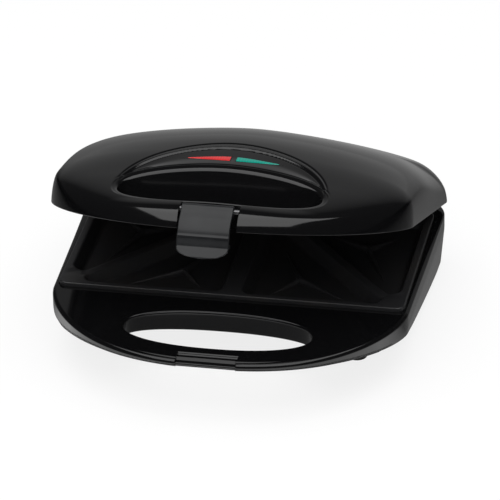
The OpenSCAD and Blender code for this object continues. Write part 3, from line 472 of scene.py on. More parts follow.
# ---- shader helpers
class Val:
    """A shader socket that takes part in sums."""

    def __init__(self, shade, socket):
        self.shade, self.socket = shade, socket

    def _op(self, operation, *terms, clamp=False):
        sockets = {f"i{n}": term for n, term in enumerate(terms)}
        return self.shade.node("Math", {"operation": operation, "use_clamp": clamp}, **sockets)

    def __add__(self, o):
        return self._op("ADD", self, o)

    def __sub__(self, o):
        return self._op("SUBTRACT", self, o)

    def __rsub__(self, o):
        return self._op("SUBTRACT", o, self)

    def __mul__(self, o):
        return self._op("MULTIPLY", self, o)

    def __truediv__(self, o):
        return self._op("DIVIDE", self, o)

    def __rtruediv__(self, o):
        return self._op("DIVIDE", o, self)

    __radd__, __rmul__ = __add__, __mul__

    def most(self, o):
        return self._op("MAXIMUM", self, o)

    def clamp(self):
        return self._op("ADD", self, 0.0, clamp=True)

    def sine(self):
        return self._op("SINE", self)


class Shade:
    """Builds one node tree."""

    def __init__(self, owner):
        owner.use_nodes = True
        self.tree = owner.node_tree
        self.tree.nodes.clear()

    def node(self, kind, settings=None, out=0, **sockets):
        """Adds a node, sets its settings first and then its sockets by name, or by number as i0, i1."""
        node = self.tree.nodes.new("ShaderNode" + kind)
        for key, value in (settings or {}).items():
            setattr(node, key, value)
        for key, value in sockets.items():
            numbered = key[0] == "i" and key[1:].isdigit()
            slot = node.inputs[int(key[1:]) if numbered else key.replace("_", " ")]
            if isinstance(value, Val):
                self.tree.links.new(value.socket, slot)
            else:
                slot.default_value = value
        return Val(self, node.outputs[out]) if node.outputs else None

    def mix(self, factor, a, b):
        """Mixes two colours."""
        a, b = (v if isinstance(v, Val) else (*v, 1.0) for v in (a, b))
        return self.node("Mix", {"data_type": "RGBA"}, out=2, i0=factor, i6=a, i7=b)

    def place(self, scale=(1, 1, 1)):
        """Object coordinates in metres, stretched by scale."""
        return self.node("VectorMath", {"operation": "MULTIPLY"}, i0=self.node("TexCoord", out=3), i1=scale)

    def axis(self, number, at):
        return self.node("SeparateXYZ", out=number, Vector=at)

    def noise(self, scale, detail, at=None):
        return self.node("TexNoise", Vector=at or self.place(), Scale=scale, Detail=detail, Roughness=0.55)

    def bump(self, height, distance, strength):
        return self.node("Bump", Height=height, Distance=distance, Strength=strength)

    def rays(self):
        """Whether the eye sees a surface, straight or through another, and whether a reflection does."""
        eye, glossy, through = (self.node("LightPath", out=k) for k in (0, 3, 6))
        return eye.most(through), glossy

    def surface(self, **sockets):
        self.node("OutputMaterial", Surface=self.node("BsdfPrincipled", **sockets))


def link(name, data):
    """A new object in the scene."""
    obj = bpy.data.objects.new(name, data)
    bpy.context.scene.collection.objects.link(obj)
    return obj


def material(name, build):
    mat = bpy.data.materials.get(name) or bpy.data.materials.new(name)
    build(Shade(mat))
    return mat


def darker(tone, share):
    return tuple(v * share for v in tone)


def gloss_black(sh):
    """Polished black moulding: faint waviness, fine dust and rubbed patches."""
    fleck = (sh.noise(2600.0, 1.0) - 0.70).clamp() * 1.6
    sh.surface(
        Base_Color=sh.mix(fleck, colours().housing, (0.05, 0.05, 0.052)),
        Roughness=0.07 + sh.noise(21.0, 4.0) * 0.06 + fleck * 0.5,
        IOR=1.46, Normal=sh.bump(sh.noise(38.0, 2.0), 0.0001, 0.2))


def satin_black(sh):
    """Satin moulding of the latch with a fine grain, paler where fingers rub it."""
    grain = sh.noise(2100.0, 2.0)
    rubbed = sh.noise(60.0, 4.0)
    sh.surface(
        Base_Color=sh.mix((rubbed - 0.4).clamp(), colours().satin, (0.024, 0.025, 0.027)),
        Roughness=0.25 + grain * 0.08 + rubbed * 0.06, IOR=1.38, Normal=sh.bump(grain, 0.00005, 0.35))


def grained(sh):
    """Heat-resistant moulding with a spark-eroded grain."""
    pits = sh.node("TexVoronoi", Vector=sh.place(), Scale=1500.0)
    cloud = sh.noise(45.0, 4.0)
    sh.surface(
        Base_Color=sh.mix(cloud * 0.5, colours().cover, (0.034, 0.034, 0.036)),
        Roughness=0.50 + cloud * 0.16, IOR=1.46, Normal=sh.bump(pits, 0.00009, 0.5))


def coated(sh):
    """Non-stick coating on cast aluminium: orange-peel bump, tiny flakes and faint baked-on haze."""
    peel = sh.noise(900.0, 2.0)
    flake = (sh.noise(3800.0, 0.0) - 0.66).clamp() * 2.2
    haze = (sh.noise(30.0, 5.0) - 0.45).clamp()
    tone = sh.mix(haze * 0.9, colours().coating, (0.030, 0.024, 0.019))
    sh.surface(
        Base_Color=sh.mix(flake, tone, (0.09, 0.09, 0.095)),
        Roughness=0.30 + haze * 0.35 + peel * 0.08, IOR=1.45, Normal=sh.bump(peel, 0.00006, 0.55))


def lens_plastic(colour, deep):
    """Tinted plastic of a lens or a lamp with fine ribs inside it, its tone patchy at random, and a faint
    painted glow in its own colour.
    """
    def build(sh):
        ribs = (sh.axis(0, sh.place()) * 3600.0).sine() * 0.5 + 0.5
        cloud = sh.noise(160.0, 3.0)
        sh.surface(
            Base_Color=sh.mix((ribs * 0.35 + cloud * 0.35).clamp(), colour, deep),
            # the emission is a faint painted glow in the plastic's own colour
            Roughness=0.16 + cloud * 0.08, IOR=1.48, Emission_Color=sh.mix(ribs * 0.4, colour, deep),
            Emission_Strength=0.22, Normal=sh.bump(ribs, 0.00005, 0.4))
    return build


def red_plastic(sh):
    lens_plastic(colours().red, (0.34, 0.012, 0.014))(sh)


def green_plastic(sh):
    lens_plastic(colours().green, (0.0, 0.14, 0.11))(sh)


def brushed(tone, rough, dark=0.7):
    """Sheet or turned metal with drawn lines and a slight tarnish."""
    def build(sh):
        lines = sh.noise(420.0, 3.0, sh.place((0.12, 1.0, 1.0)))
        cloud = sh.noise(70.0, 4.0)
        sh.surface(
            Base_Color=sh.mix((cloud * 1.2 - 0.3).clamp(), tone, darker(tone, dark)),
            Metallic=1.0, Roughness=rough + lines * 0.16, Normal=sh.bump(lines, 0.00004, 0.4))
    return build


def dull(tone, rough, pitch=1400.0, sheen=0.0):
    """Matt moulded or fired surface with a fine speckle."""
    def build(sh):
        speck = sh.noise(pitch, 2.0)
        cloud = sh.noise(60.0, 4.0)
        sh.surface(
            Base_Color=sh.mix((cloud * 0.7 + (speck - 0.5) * 0.5).clamp(), tone, darker(tone, 0.72)),
            Roughness=rough + cloud * 0.12, Sheen_Weight=sheen, Normal=sh.bump(speck, 0.00006, 0.5))
    return build


def braided(sh):
    """Glass fibre sleeve: crossed strands."""
    at = sh.place()
    x, y, z = (sh.axis(k, at) for k in range(3))
    strands = ((x * 2.0 + y + z) * 5200.0).sine() * ((x * 2.0 - y - z) * 5200.0).sine()
    weave = strands * 0.5 + 0.5
    sh.surface(
        Base_Color=sh.mix(weave, (0.07, 0.068, 0.062), (0.20, 0.192, 0.175)),
        Roughness=0.62 + weave * 0.2, Normal=sh.bump(weave, 0.0002, 0.6))


# ---- pieces
class TOASTER_OT_lid_shell(bpy.types.Operator):
    """Domed lid with its grip opening, scooped panel, latch recess and lip"""

    bl_idname = "toaster.lid_shell"
    bl_label = "Lid shell"

    def pairs(self):
        """Matching plan points on the grip opening and the outline, right half, front to rear."""
        outline = half_outline(LID_OVER, LID_REAR, LID_CORNER_R, LID_STEPS)
        opening = oval_half(LID_GRIP, LID_CY, OPENING_STEPS)
        # upright columns beside the recess, closest at its edge, then lines that fan out
        close = RECESS_HW + np.array([0, .05, .13, .26, .45, .7, 1.0, 1.5, 2.3])
        x = np.concatenate([close, np.arange(22, 31, 1.0)])

        def along(curve, front):
            cut = curve[np.argmax(curve[:, 0] >= x[-1]):]
            length = np.concatenate([[0], np.cumsum(np.linalg.norm(np.diff(cut, axis=0), axis=1))])
            s = np.linspace(0, length[-1], SIDE_COLUMNS + 1)[1:]
            return np.concatenate([
                np.column_stack([x, np.interp(x, front[:, 0], front[:, 1])]),
                np.column_stack([np.interp(s, length, cut[:, 0]), np.interp(s, length, cut[:, 1])])])
        inner, outer = along(opening, opening[:OPENING_STEPS // 2]), along(outline, outline[:700])
        inner[-1, 0] = outer[-1, 0] = 0.0
        return inner, outer

    def dome(self, s, rings_in=84, rings_out=62):
        """Surface points along the lines from the opening to the outline, right half."""
        inner, outer = self.pairs()
        length = np.linalg.norm(outer - inner, axis=1)[:, None]
        near = np.minimum(NEAR_SHARE * length, NEAR_MOST)
        t = np.linspace(0, 1, rings_in)[None]
        v = np.linspace(0, 1, rings_out + 1)[None, 1:]
        d = np.concatenate([near * t ** NEAR_CROWD, near + (length - near) * (1 - (1 - v) ** FAR_CROWD)], 1)
        dirs = unit(outer - inner)
        p = inner[:, None] + dirs[:, None] * d[..., None]
        tangent = unit(np.gradient(outer, axis=0))
        cosine = np.abs(dirs[:, 0] * tangent[:, 1] - dirs[:, 1] * tangent[:, 0])
        x, y = p[..., 0], p[..., 1]
        z = lid_top(x, y, (length - d) * cosine[:, None], s)
        beside_recess = np.hypot(np.clip(x - RECESS_HW, 0, None), np.clip(y - WEB_Y, 0, None))
        return np.dstack([p, z - rounding(beside_recess, s.recess_edge * MM)])

    def web(self, s, rings=26):
        """Surface points between the grip opening and the latch recess."""
        xs = np.linspace(-RECESS_HW, RECESS_HW, 41)
        front = oval_half(LID_GRIP, LID_CY, OPENING_STEPS)[:OPENING_STEPS // 2]
        start = np.interp(np.abs(xs), front[:, 0], front[:, 1])[:, None]
        length = start - WEB_Y
        d = length * np.linspace(0, 1, rings)[None]
        x, y = np.repeat(xs[:, None], rings, 1), start - d
        return np.dstack([x, y, lid_top(x, y, INLAND, s) - rounding(length - d, s.recess_edge * MM)])

    def lip(self, m, edge):
        """Upright band, lip and inner face of the lip, cut away at the hinges and the fibre sleeve."""
        bottom = np.full(len(edge), LIP_Z)
        x, y = np.abs(edge[:, 0]), edge[:, 1]
        at_rear = y > LID_REAR - 3
        bottom[at_rear & (x < SLEEVE_HW)] = LIP_Z + SLEEVE_ROOM
        bottom[at_rear & (np.abs(x - BARREL_X) < BARREL_W / 2 + LUG_ROOM)] = HINGE_Z + BARREL_R + SIDE_GAP
        tangent = unit(np.gradient(edge[:, :2], axis=0))
        out = np.column_stack([tangent[:, 1], -tangent[:, 0]])
        centre = np.array([0, -10.0])
        out *= np.sign((out * (edge[:, :2] - centre)).sum(1))[:, None]
        rows = [edge] + [at_height(edge[:, :2] - out * inset, bottom + up) for inset, up in (
            (0, 0.9), (0, 0.5), (.06, .25), (.2, .06), (.45, 0), (.8, 0), (2.2, 0), (2.45, .1), (WALL, .4),
            (WALL, 7))]
        band = np.stack(rows, 1)
        m.grid(band[:, :6], away_from(*centre))
        m.grid(band[:, 5:8], DOWN)
        m.grid(band[:, 7:], away_from(*centre, -1))

    def opening_wall(self, m, top, web):
        """Wall of the grip opening, down to a turned lip."""
        lip = np.concatenate([top[:, 0], web[1:-1, 0]])
        lip = lip[np.argsort(np.arctan2(lip[:, 1] - LID_CY, lip[:, 0] / 3))]
        rows = [lip] + [at_height(lip, lip[:, 2] + (LIP_Z + 0.6 - lip[:, 2]) * k)
                        for k in (0.02, 0.06, 0.3, 0.6, 1.0)]
        out = unit(lip[:, :2] - [0, LID_CY])
        rows += [at_height(lip[:, :2] + out * grow, LIP_Z + up)
                 for grow, up in ((0.2, 0.15), (0.6, 0), (2.2, 0), (WALL, 0.6), (WALL, 8))]
        m.loft(rows, away_from(0, LID_CY, -1))

    def recess(self, m, column, web):
        """Sides and back of the latch recess, with the front cheeks' lower edge."""
        cheek = column[column[:, 1] <= WEB_Y + 1e-6]
        corner = [[RECESS_HW, WEB_Y, np.interp(-WEB_Y, -column[:, 1], column[:, 2])]]
        cheek = np.concatenate([corner, cheek])
        under = [[[x, y, LIP_Z] for y in (WEB_Y, cheek[-1, 1] + 2)] for x in (RECESS_HW, RECESS_HW + CHEEK_W)]
        for side in (1, -1):
            mirror = [side, 1, 1]
            m.grid(np.stack([cheek, at_height(cheek, LIP_Z)], 1) * mirror, (-side, 0, 0), smooth=False)
            m.grid(np.multiply(under, mirror), DOWN, smooth=False)
        back = web[:, -1]
        m.grid(np.stack([back, at_height(back, LIP_Z)], 1), (0, -1, 0), smooth=False)

    def execute(self, context):
        s = context.scene.toaster_sizes
        m = Piece()
        right = self.dome(s)
        top = np.concatenate([right, right[-2::-1] * [-1, 1, 1]])
        web = self.web(s)
        m.grid(top, UP)
        m.grid(web, UP)
        self.lip(m, top[:, -1])
        self.opening_wall(m, top, web)
        self.recess(m, right[0], web)
        m.make("lid_shell", "lid", "housing", material("gloss black plastic", gloss_black),
               ("lid_housing",), raise_lid)
        return {"FINISHED"}


def barrel(m, x0, x1, edge=0.5, n=40):
    """A hinge barrel along X with softened ends."""
    r = BARREL_R
    steps = [(0, r * 0.4), (0, r - edge - 0.15), (0, r - edge)]
    steps += [(edge * (1 - math.cos(t)), r - edge + edge * math.sin(t)) for t in np.radians([22, 45, 68, 90])]
    rings = [(x0 + e, q) for e, q in steps] + [(x1 - e, q) for e, q in steps[::-1]]
    pts = [[[x, HINGE_Y + q * math.cos(t), HINGE_Z + q * math.sin(t)] for x, q in rings]
           for t in np.linspace(0, 2 * np.pi, n, endpoint=False)]

    def outwards(c):
        return np.column_stack([np.where(c[:, 0] > (x0 + x1) / 2, 1, -1), c[:, 1:] - [HINGE_Y, HINGE_Z]])
    m.grid(pts, outwards, closed=True)


def soft_block(m, x0, x1, y0, y1, z0, z1, e=0.5):
    """A block with softened upright edges and top."""
    mid = np.array([(x0 + x1) / 2, (y0 + y1) / 2])
    loop = rounded_rect((x1 - x0) / 2, (y1 - y0) / 2, 0, min(1.2, e * 2), 5, 2) + mid
    reach = np.abs(loop - mid).max(0)
    rows = [at_height(mid + (loop - mid) * (1 - inset / reach), z) for inset, z in
            ((0, z0), (0, z1 - e), (e * .3, z1 - e * .3), (e, z1), (e * 1.6, z1))]
    m.loft(rows, away_from(*mid))
    m.fill([rows[-1]], z1)


class TOASTER_OT_hinge_lugs(bpy.types.Operator):
    """Lid barrels of the hinge with the arms that carry them"""

    bl_idname = "toaster.hinge_lugs"
    bl_label = "Hinge lugs"

    def execute(self, context):
        m = Piece()
        for side in (-1, 1):
            x0, x1 = side * BARREL_X - BARREL_W / 2, side * BARREL_X + BARREL_W / 2
            barrel(m, x0, x1)
            soft_block(m, x0 + 0.02, x1 - 0.02, LID_REAR - WALL - 1, HINGE_Y + 2, HINGE_Z + 3, LIP_Z + 9)
        m.make("hinge_lugs", "lid", "housing", material("gloss black plastic", gloss_black),
               ("lid_housing",), raise_lid)
        return {"FINISHED"}


class TOASTER_OT_base_shell(bpy.types.Operator):
    """Base with its deck, grip hole, catch recess, hinge pockets and swept underside"""

    bl_idname = "toaster.base_shell"
    bl_label = "Base shell"

    def outline(self):
        """Closed outline with two points close together where the catch recess or a rear pocket ends."""
        half = half_outline(0, REAR_Y, CORNER_R, (260, 60, 30, 60))
        cuts = {NOTCH_HW} | {abs(x) for pocket in REAR_POCKETS for x in pocket[:2]}
        pts = []
        for p, q in zip(half[:-1], half[1:]):
            pts.append(p)
            for x in sorted(cuts, reverse=bool(q[0] < p[0])):
                if min(p[0], q[0]) < x < max(p[0], q[0]) and (x == NOTCH_HW) == (p[1] < 0):
                    k = (x - p[0]) / (q[0] - p[0])
                    at = p + (q - p) * k
                    pts += [at - (q - p) * 1e-5, at + (q - p) * 1e-5]
        return both_halves(np.array(pts + [half[-1]]))

    def sides(self, m, deck_r):
        """Deck edge, flanks and keel edge. Gives the rows where the deck and the underside start."""
        loop = self.outline()
        out = outward(loop)
        x, y = loop[:, 0], loop[:, 1]
        top = np.full(len(loop), DECK_H)
        for x0, x1, _, floor in REAR_POCKETS:
            top[(x > x0) & (x < x1) & (y > 100)] = floor
        catch = (np.abs(x) < NOTCH_HW) & (y < -100)
        top[catch] = DECK_H - CATCH_T
        ring = loop.copy()
        ring[catch, 1] = FRONT_Y + NOTCH_IN
        ring[:, 1] = np.maximum(ring[:, 1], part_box("base_housing")[0][1] * MM)
        out[catch] = [0, -1]
        low = keel_z(ring[:, 1])
        edge_r = FINE_R + (deck_r - FINE_R) * (1 - step(ring[:, 1], 20, 95))
        edge_r[catch] = FINE_R

        def level(inset, z):
            inset = np.zeros(len(ring)) + inset
            return tucked(at_height(ring - out * inset[:, None], z), inset)
        rows = [level(edge_r + SEAM, top)] + [level(inset, top - drop) for inset, drop in round_over(edge_r)]
        high = top - edge_r
        knee = np.maximum(np.minimum(high - 0.1, FLANK_Z), low + 1.3)
        rows += [level(0, high + (knee + 0.9 - high).clip(None, -0.01) * k) for k in (0.06, 0.5, 1.0)]
        keel_r = 1.2 + 2.0 * (1 - step(ring[:, 1], SHOULDER_Y - 20, SHOULDER_Y + 30))
        keel_r = np.minimum(keel_r, (high - low) * 0.6)
        rows += [level(0, knee - (knee - low - keel_r) * k) for k in (0.04, 0.3, 0.65, 0.97)]
        rows += [level(inset, low + rise) for rise, inset in round_over(keel_r)]
        belly = level(keel_r + 0.3, low)
        rows += [belly] + [level(keel_r + 1, low + up) for up in (0, 0.3, 6)]
        m.loft(rows, away_from(0, 0))
        return rows[0], belly

    def deck(self, m, plain, tray, grip_r):
        """Flat top round the grip hole and the tray opening."""
        wide = [v + grip_r + 0.5 for v in BASE_GRIP]
        loops = [plain, both_halves(oval_half(wide, BASE_GRIP_Y, 150)), tray,
                 plan_box(-NOTCH_HW, NOTCH_HW, -BEYOND, FRONT_Y + CATCH_D)]
        m.fill(loops + [plan_box(x0, x1, y0, BEYOND) for x0, x1, y0, _ in REAR_POCKETS], DECK_H)

    def grip_hole(self, m, hole, grip_r):
        """Rounded edge, wall and lower lip of the grip hole."""
        out, low = outward(hole), keel_z(hole[:, 1])
        rows = [at_height(hole + out * (grip_r + 0.5), DECK_H)]
        rows += [at_height(hole + out * grow, DECK_H - drop)
                 for grow, drop in round_over(grip_r, [0, 12, 25, 38, 50, 62, 75, 90])]
        rows += [at_height(hole, DECK_H - grip_r + (low + 1 - DECK_H + grip_r) * k)
                 for k in (0.05, 0.4, 0.8, 1.0)]
        rows += [at_height(hole + out * grow, low + up)
                 for grow, up in ((0.15, 0.4), (0.5, 0.08), (1.0, 0), (WALL, 0))]
        m.loft(rows, away_from(0, BASE_GRIP_Y, -1))

    def bar(self, m, belly, hole):
        """Underside of the bar in front of the grip hole."""
        collar = hole + outward(hole) * WALL
        end = BASE_GRIP_Y - 20
        strip = plan_box(-BEYOND, BEYOND, -BEYOND, end)
        m.fill([belly, collar, strip], lambda q: keel_z(q[:, 1]), up=-1,
               keep=lambda q: between([belly, collar], q) & (q[:, 1] < end))

    def catch(self, m, deck_r, e=0.6):
        """Catch recess: a shelf and a groove with softened edges, drawn across its width."""
        profile = [(CATCH_D, 0), (CATCH_D - e, -e), (CATCH_D - e, e - SHELF_T), (CATCH_D - 2 * e, -SHELF_T),
                   (SHELF_D + e, -SHELF_T), (SHELF_D, -SHELF_T - e), (SHELF_D - 0.1, -CATCH_T),
                   (4.6, -CATCH_T), (4.2, -1.5), (3.4, -1.5), (3.0, -CATCH_T),
                   (NOTCH_IN + FINE_R + SEAM, -CATCH_T)]
        profile = [(FRONT_Y + y, DECK_H + z) for y, z in profile]
        m.grid([[[x, y, z] for y, z in profile] for x in (-NOTCH_HW, NOTCH_HW)], (0, -0.3, 1), smooth=False)
        front = FRONT_Y + 0.82  # of the deck's edge beside the recess
        for side in (-1, 1):
            x = side * NOTCH_HW
            high = [[x, y, DECK_H - 0.02] for y, _ in profile[1:]]
            high += [[x, front + deck_r * 0.3, DECK_H - deck_r * 0.3], [x, front, DECK_H - deck_r]]
            low = [[x, y, z] for y, z in profile[1:]]
            low += [[x, FRONT_Y + NOTCH_IN, z] for z in (DECK_H - 4.0, INNER_Z)]
            m.grid(np.stack([high, low], 1), (-side, 0, 0), smooth=False)

    def rear_pockets(self, m):
        """Floor, front wall and side walls of the pockets at the rear."""
        for x0, x1, y0, floor in REAR_POCKETS:
            y1 = REAR_Y - FINE_R - SEAM
            m.grid([[[x, y, floor] for y in (y0, y1)] for x in (x0, x1)], UP, smooth=False)
            m.grid([[[x, y0, z] for z in (floor, DECK_H)] for x in (x0, x1)], (0, 1, 0), smooth=False)
            for x, facing in ((x0, 1), (x1, -1)):
                m.grid([[[x, y, z] for z in (floor, DECK_H)] for y in (y0, REAR_Y)], (facing, 0, 0),
                       smooth=False)

    def execute(self, context):
        s = context.scene.toaster_sizes
        deck_r, grip_r = s.deck_edge * MM, s.grip_edge * MM
        m = Piece()
        plain, belly = self.sides(m, deck_r)
        tray = rounded_rect(PLATE_HW + 0.5, PLATE_HD + 0.5, PLATE_CY, PLATE_R, 10, 30)
        hole = both_halves(oval_half(BASE_GRIP, BASE_GRIP_Y, 150))
        self.deck(m, plain, tray, grip_r)
        self.grip_hole(m, hole, grip_r)
        self.bar(m, belly, hole)
        rows = [at_height(tray, z) for z in (DECK_H, DECK_H - 1, INNER_Z)]
        m.loft(rows, away_from(0, PLATE_CY, -1))
        self.catch(m, deck_r)
        self.rear_pockets(m)
        for side in (-1, 1):
            for x in (POCKET_X[0] - KNUCKLE_W, POCKET_X[1]):
                barrel(m, *sorted((side * x, side * (x + KNUCKLE_W))))
        m.make("base_shell", "base", "housing", material("gloss black plastic", gloss_black),
               ("base_housing",))
        return {"FINISHED"}


class TOASTER_OT_latch(bpy.types.Operator):
    """Latch: barrel, curved face, ridge, hook and flared finger tab"""

    bl_idname = "toaster.latch"
    bl_label = "Latch"

    def outline(self):
        """Closed profile round the pin, (y, z): over the barrel, down the face and up behind it."""
        back = np.radians(np.linspace(-80, 165, 46))
        over = LATCH_BARREL_R * np.column_stack([np.cos(back), np.sin(back)])
        t = np.linspace(0, 1, 22)[1:, None]
        p0, p1 = over[-1], over[-1] + [-1.6, -4.6]
        p2, p3 = np.array([-10.8, -6.5]), np.array([-10.8, -13.6])
        bulge = (1 - t) ** 3 * p0 + 3 * t * (1 - t) ** 2 * p1 + 3 * t * t * (1 - t) * p2 + t ** 3 * p3
        ridge = [[-10.82, -14.2], [-10.95, -14.7], [-11.25, -15.1], [-11.4, -15.5], [-11.3, -15.95],
                 [-11.0, -16.3], [-10.85, -16.6], [-10.8, -17.2], [-10.8, -18.6], [-10.8, -20.0],
                 [-10.78, -21.2], [-10.7, -21.8]]
        tab = [[-10.75, -22.0], [-11.0, -22.6], [-11.5, -24.2], [-12.0, -26.0], [-12.5, -27.6],
               [-12.8, -28.6], [-12.65, -28.9], [-12.2, -29.0], [-10.6, -28.9], [-10.2, -28.6]]
        hook = [[-9.7, -26.5], [-8.9, -23.6], [-8.3, -21.9], [-7.0, -21.85], [-5.0, -21.9], [-4.1, -21.9],
                [-3.85, -21.5], [-3.5, -19.6], [-3.6, -19.3], [-5.0, -19.3], [-7.9, -19.3], [-8.2, -19.0]]
        rear = [[-8.2, -15.0], [-8.2, -10.0], [-8.0, -7.6], [-6.5, -6.6], [-3.0, -5.4], [0.0, -4.5]]
        loop = np.concatenate([over, bulge, ridge, tab, hook, rear])
        loop[:, 1] -= LATCH_REACH * step(-loop[:, 1], 4.5, 12.0)
        return loop

    def execute(self, context):
        e = context.scene.toaster_sizes.latch_edge * MM
        loop = self.outline()
        out = outward(loop)
        half, middle = (LATCH_RIGHT - LATCH_LEFT) / 2, (LATCH_RIGHT + LATCH_LEFT) / 2
        round_z, tip_z = TAB_ROUND_Z - LATCH_REACH, TAB_TIP_Z - LATCH_REACH
        k = np.clip((round_z - loop[:, 1]) / (round_z - tip_z), 0, 0.9999)
        hw = half * np.sqrt(1 - k * k)
        # from the left side's rounded edge over the face to the right side's
        left = [np.column_stack([-np.maximum(hw - short, 0), loop - out * inset])
                for short, inset in round_over(e, [90, 67, 45, 22, 0])]
        face = [np.column_stack([hw * across, loop]) for across in np.linspace(-0.93, 0.93, 15)]
        right = [line * [-1, 1, 1] for line in left[::-1]]
        m = Piece()
        centre = loop.mean(0)
        m.loft(left + face + right, lambda c: np.column_stack([c[:, 0] * 0, c[:, 1:] - centre]))
        rim, reach = left[0][:, 1:], -left[0][:, 0]

        def nearest_reach(q):
            return reach[((q[:, None] - rim[None]) ** 2).sum(2).argmin(1)]
        for side in (-1, 1):
            before = len(m.faces)
            m.fill([rim], nearest_reach)
            y, z, x = m.verts[-1].T
            m.verts[-1] = np.column_stack([side * x, y, z])
            if side < 0:
                m.faces[before:] = [f[::-1] for f in m.faces[before:]]
        swing = turn_about(0, 0, LATCH_OUT)

        def place(p):
            return raise_lid(swing(p) + [middle, LATCH_Y, LATCH_Z])
        m.make("latch_lever", "latch", "latch", material("satin black plastic", satin_black), ("latch",),
               place)
        return {"FINISHED"}


def triangle_loop(corners, offset, arc=14, side=16):
    """A closed loop at a distance outside a triangle, rounded at its corners."""
    if np.cross(corners[1] - corners[0], corners[2] - corners[0]) < 0:
        corners = corners[::-1]
    parts = []
    for i in range(3):
        a, b, c = corners[i - 1], corners[i], corners[(i + 1) % 3]
        d0, d1 = unit(b - a), unit(c - b)
        n0, n1 = np.array([d0[1], -d0[0]]), np.array([d1[1], -d1[0]])
        t0, t1 = math.atan2(n0[1], n0[0]), math.atan2(n1[1], n1[0])
        if t1 < t0:
            t1 += 2 * math.pi
        t = np.linspace(t0, t1, arc + 1)
        parts.append(b + offset * np.column_stack([np.cos(t), np.sin(t)]))
        parts.append(np.linspace(b + offset * n1, c + offset * n1, side + 1)[1:-1])
    return np.concatenate(parts)


def fillet(path, radii, n):
    """Rounds the corners of an open path of (distance, height) points in n steps each."""
    path = np.asarray(path, float)
    out = [path[0]]
    for before, p, after, radius in zip(path, path[1:], path[2:], radii):
        a, b = unit(before - p), unit(after - p)
        half = math.acos(np.clip(a @ b, -1, 1)) / 2
        cut = radius / math.tan(half)
        centre = p + unit(a + b) * radius / math.sin(half)
        s, e = p + a * cut - centre, p + b * cut - centre
        t0, t1 = math.atan2(s[1], s[0]), math.atan2(e[1], e[0])
        d = (t1 - t0 + math.pi) % (2 * math.pi) - math.pi
        out += [centre + radius * np.array([math.cos(t0 + d * k / n), math.sin(t0 + d * k / n)])
                for k in range(n + 1)]
    out.append(path[-1])
    return np.array(out)


def pocket_cores():
    """Core triangles of the four pockets, CORE_IN inside their edges."""
    k = 1 - RIDGE_W / 2 / (POCKET_W * POCKET_L / math.hypot(POCKET_W, POCKET_L))
    corners = np.array([[0, 0], [POCKET_W * k, 0], [0, POCKET_L * k]])
    core = []
    for i in range(3):
        a, p, b = corners[i - 1], corners[i], corners[(i + 1) % 3]
        u, v = unit(a - p), unit(b - p)
        core.append(p + unit(u + v) * CORE_IN / math.sin(math.acos(u @ v) / 2))
    core = np.array(core)
    base = np.array([LAND_W / 2, PLATE_CY - POCKET_L / 2])
    near, far = core + base, base + [POCKET_W, POCKET_L] - core
    return [near, far, near * [-1, 1], far * [-1, 1]]


def plate_top(q):
    """Height of a plate's rim, lower along the ridge between two triangles."""
    x, y = np.abs(q[:, 0]) - LAND_W / 2, q[:, 1] - (PLATE_CY - POCKET_L / 2)
    run = math.hypot(POCKET_W, POCKET_L)
    d = np.array([-POCKET_W, POCKET_L]) / run
    along = (x - POCKET_W) * d[0] + y * d[1]
    aside = np.abs((x - POCKET_W) * d[1] - y * d[0])
    ends = step(along, *RIDGE_ENDS) * step(run - along, *RIDGE_ENDS)
    return -RIDGE_DROP * ends * (1 - step(aside, *RIDGE_SIDES))


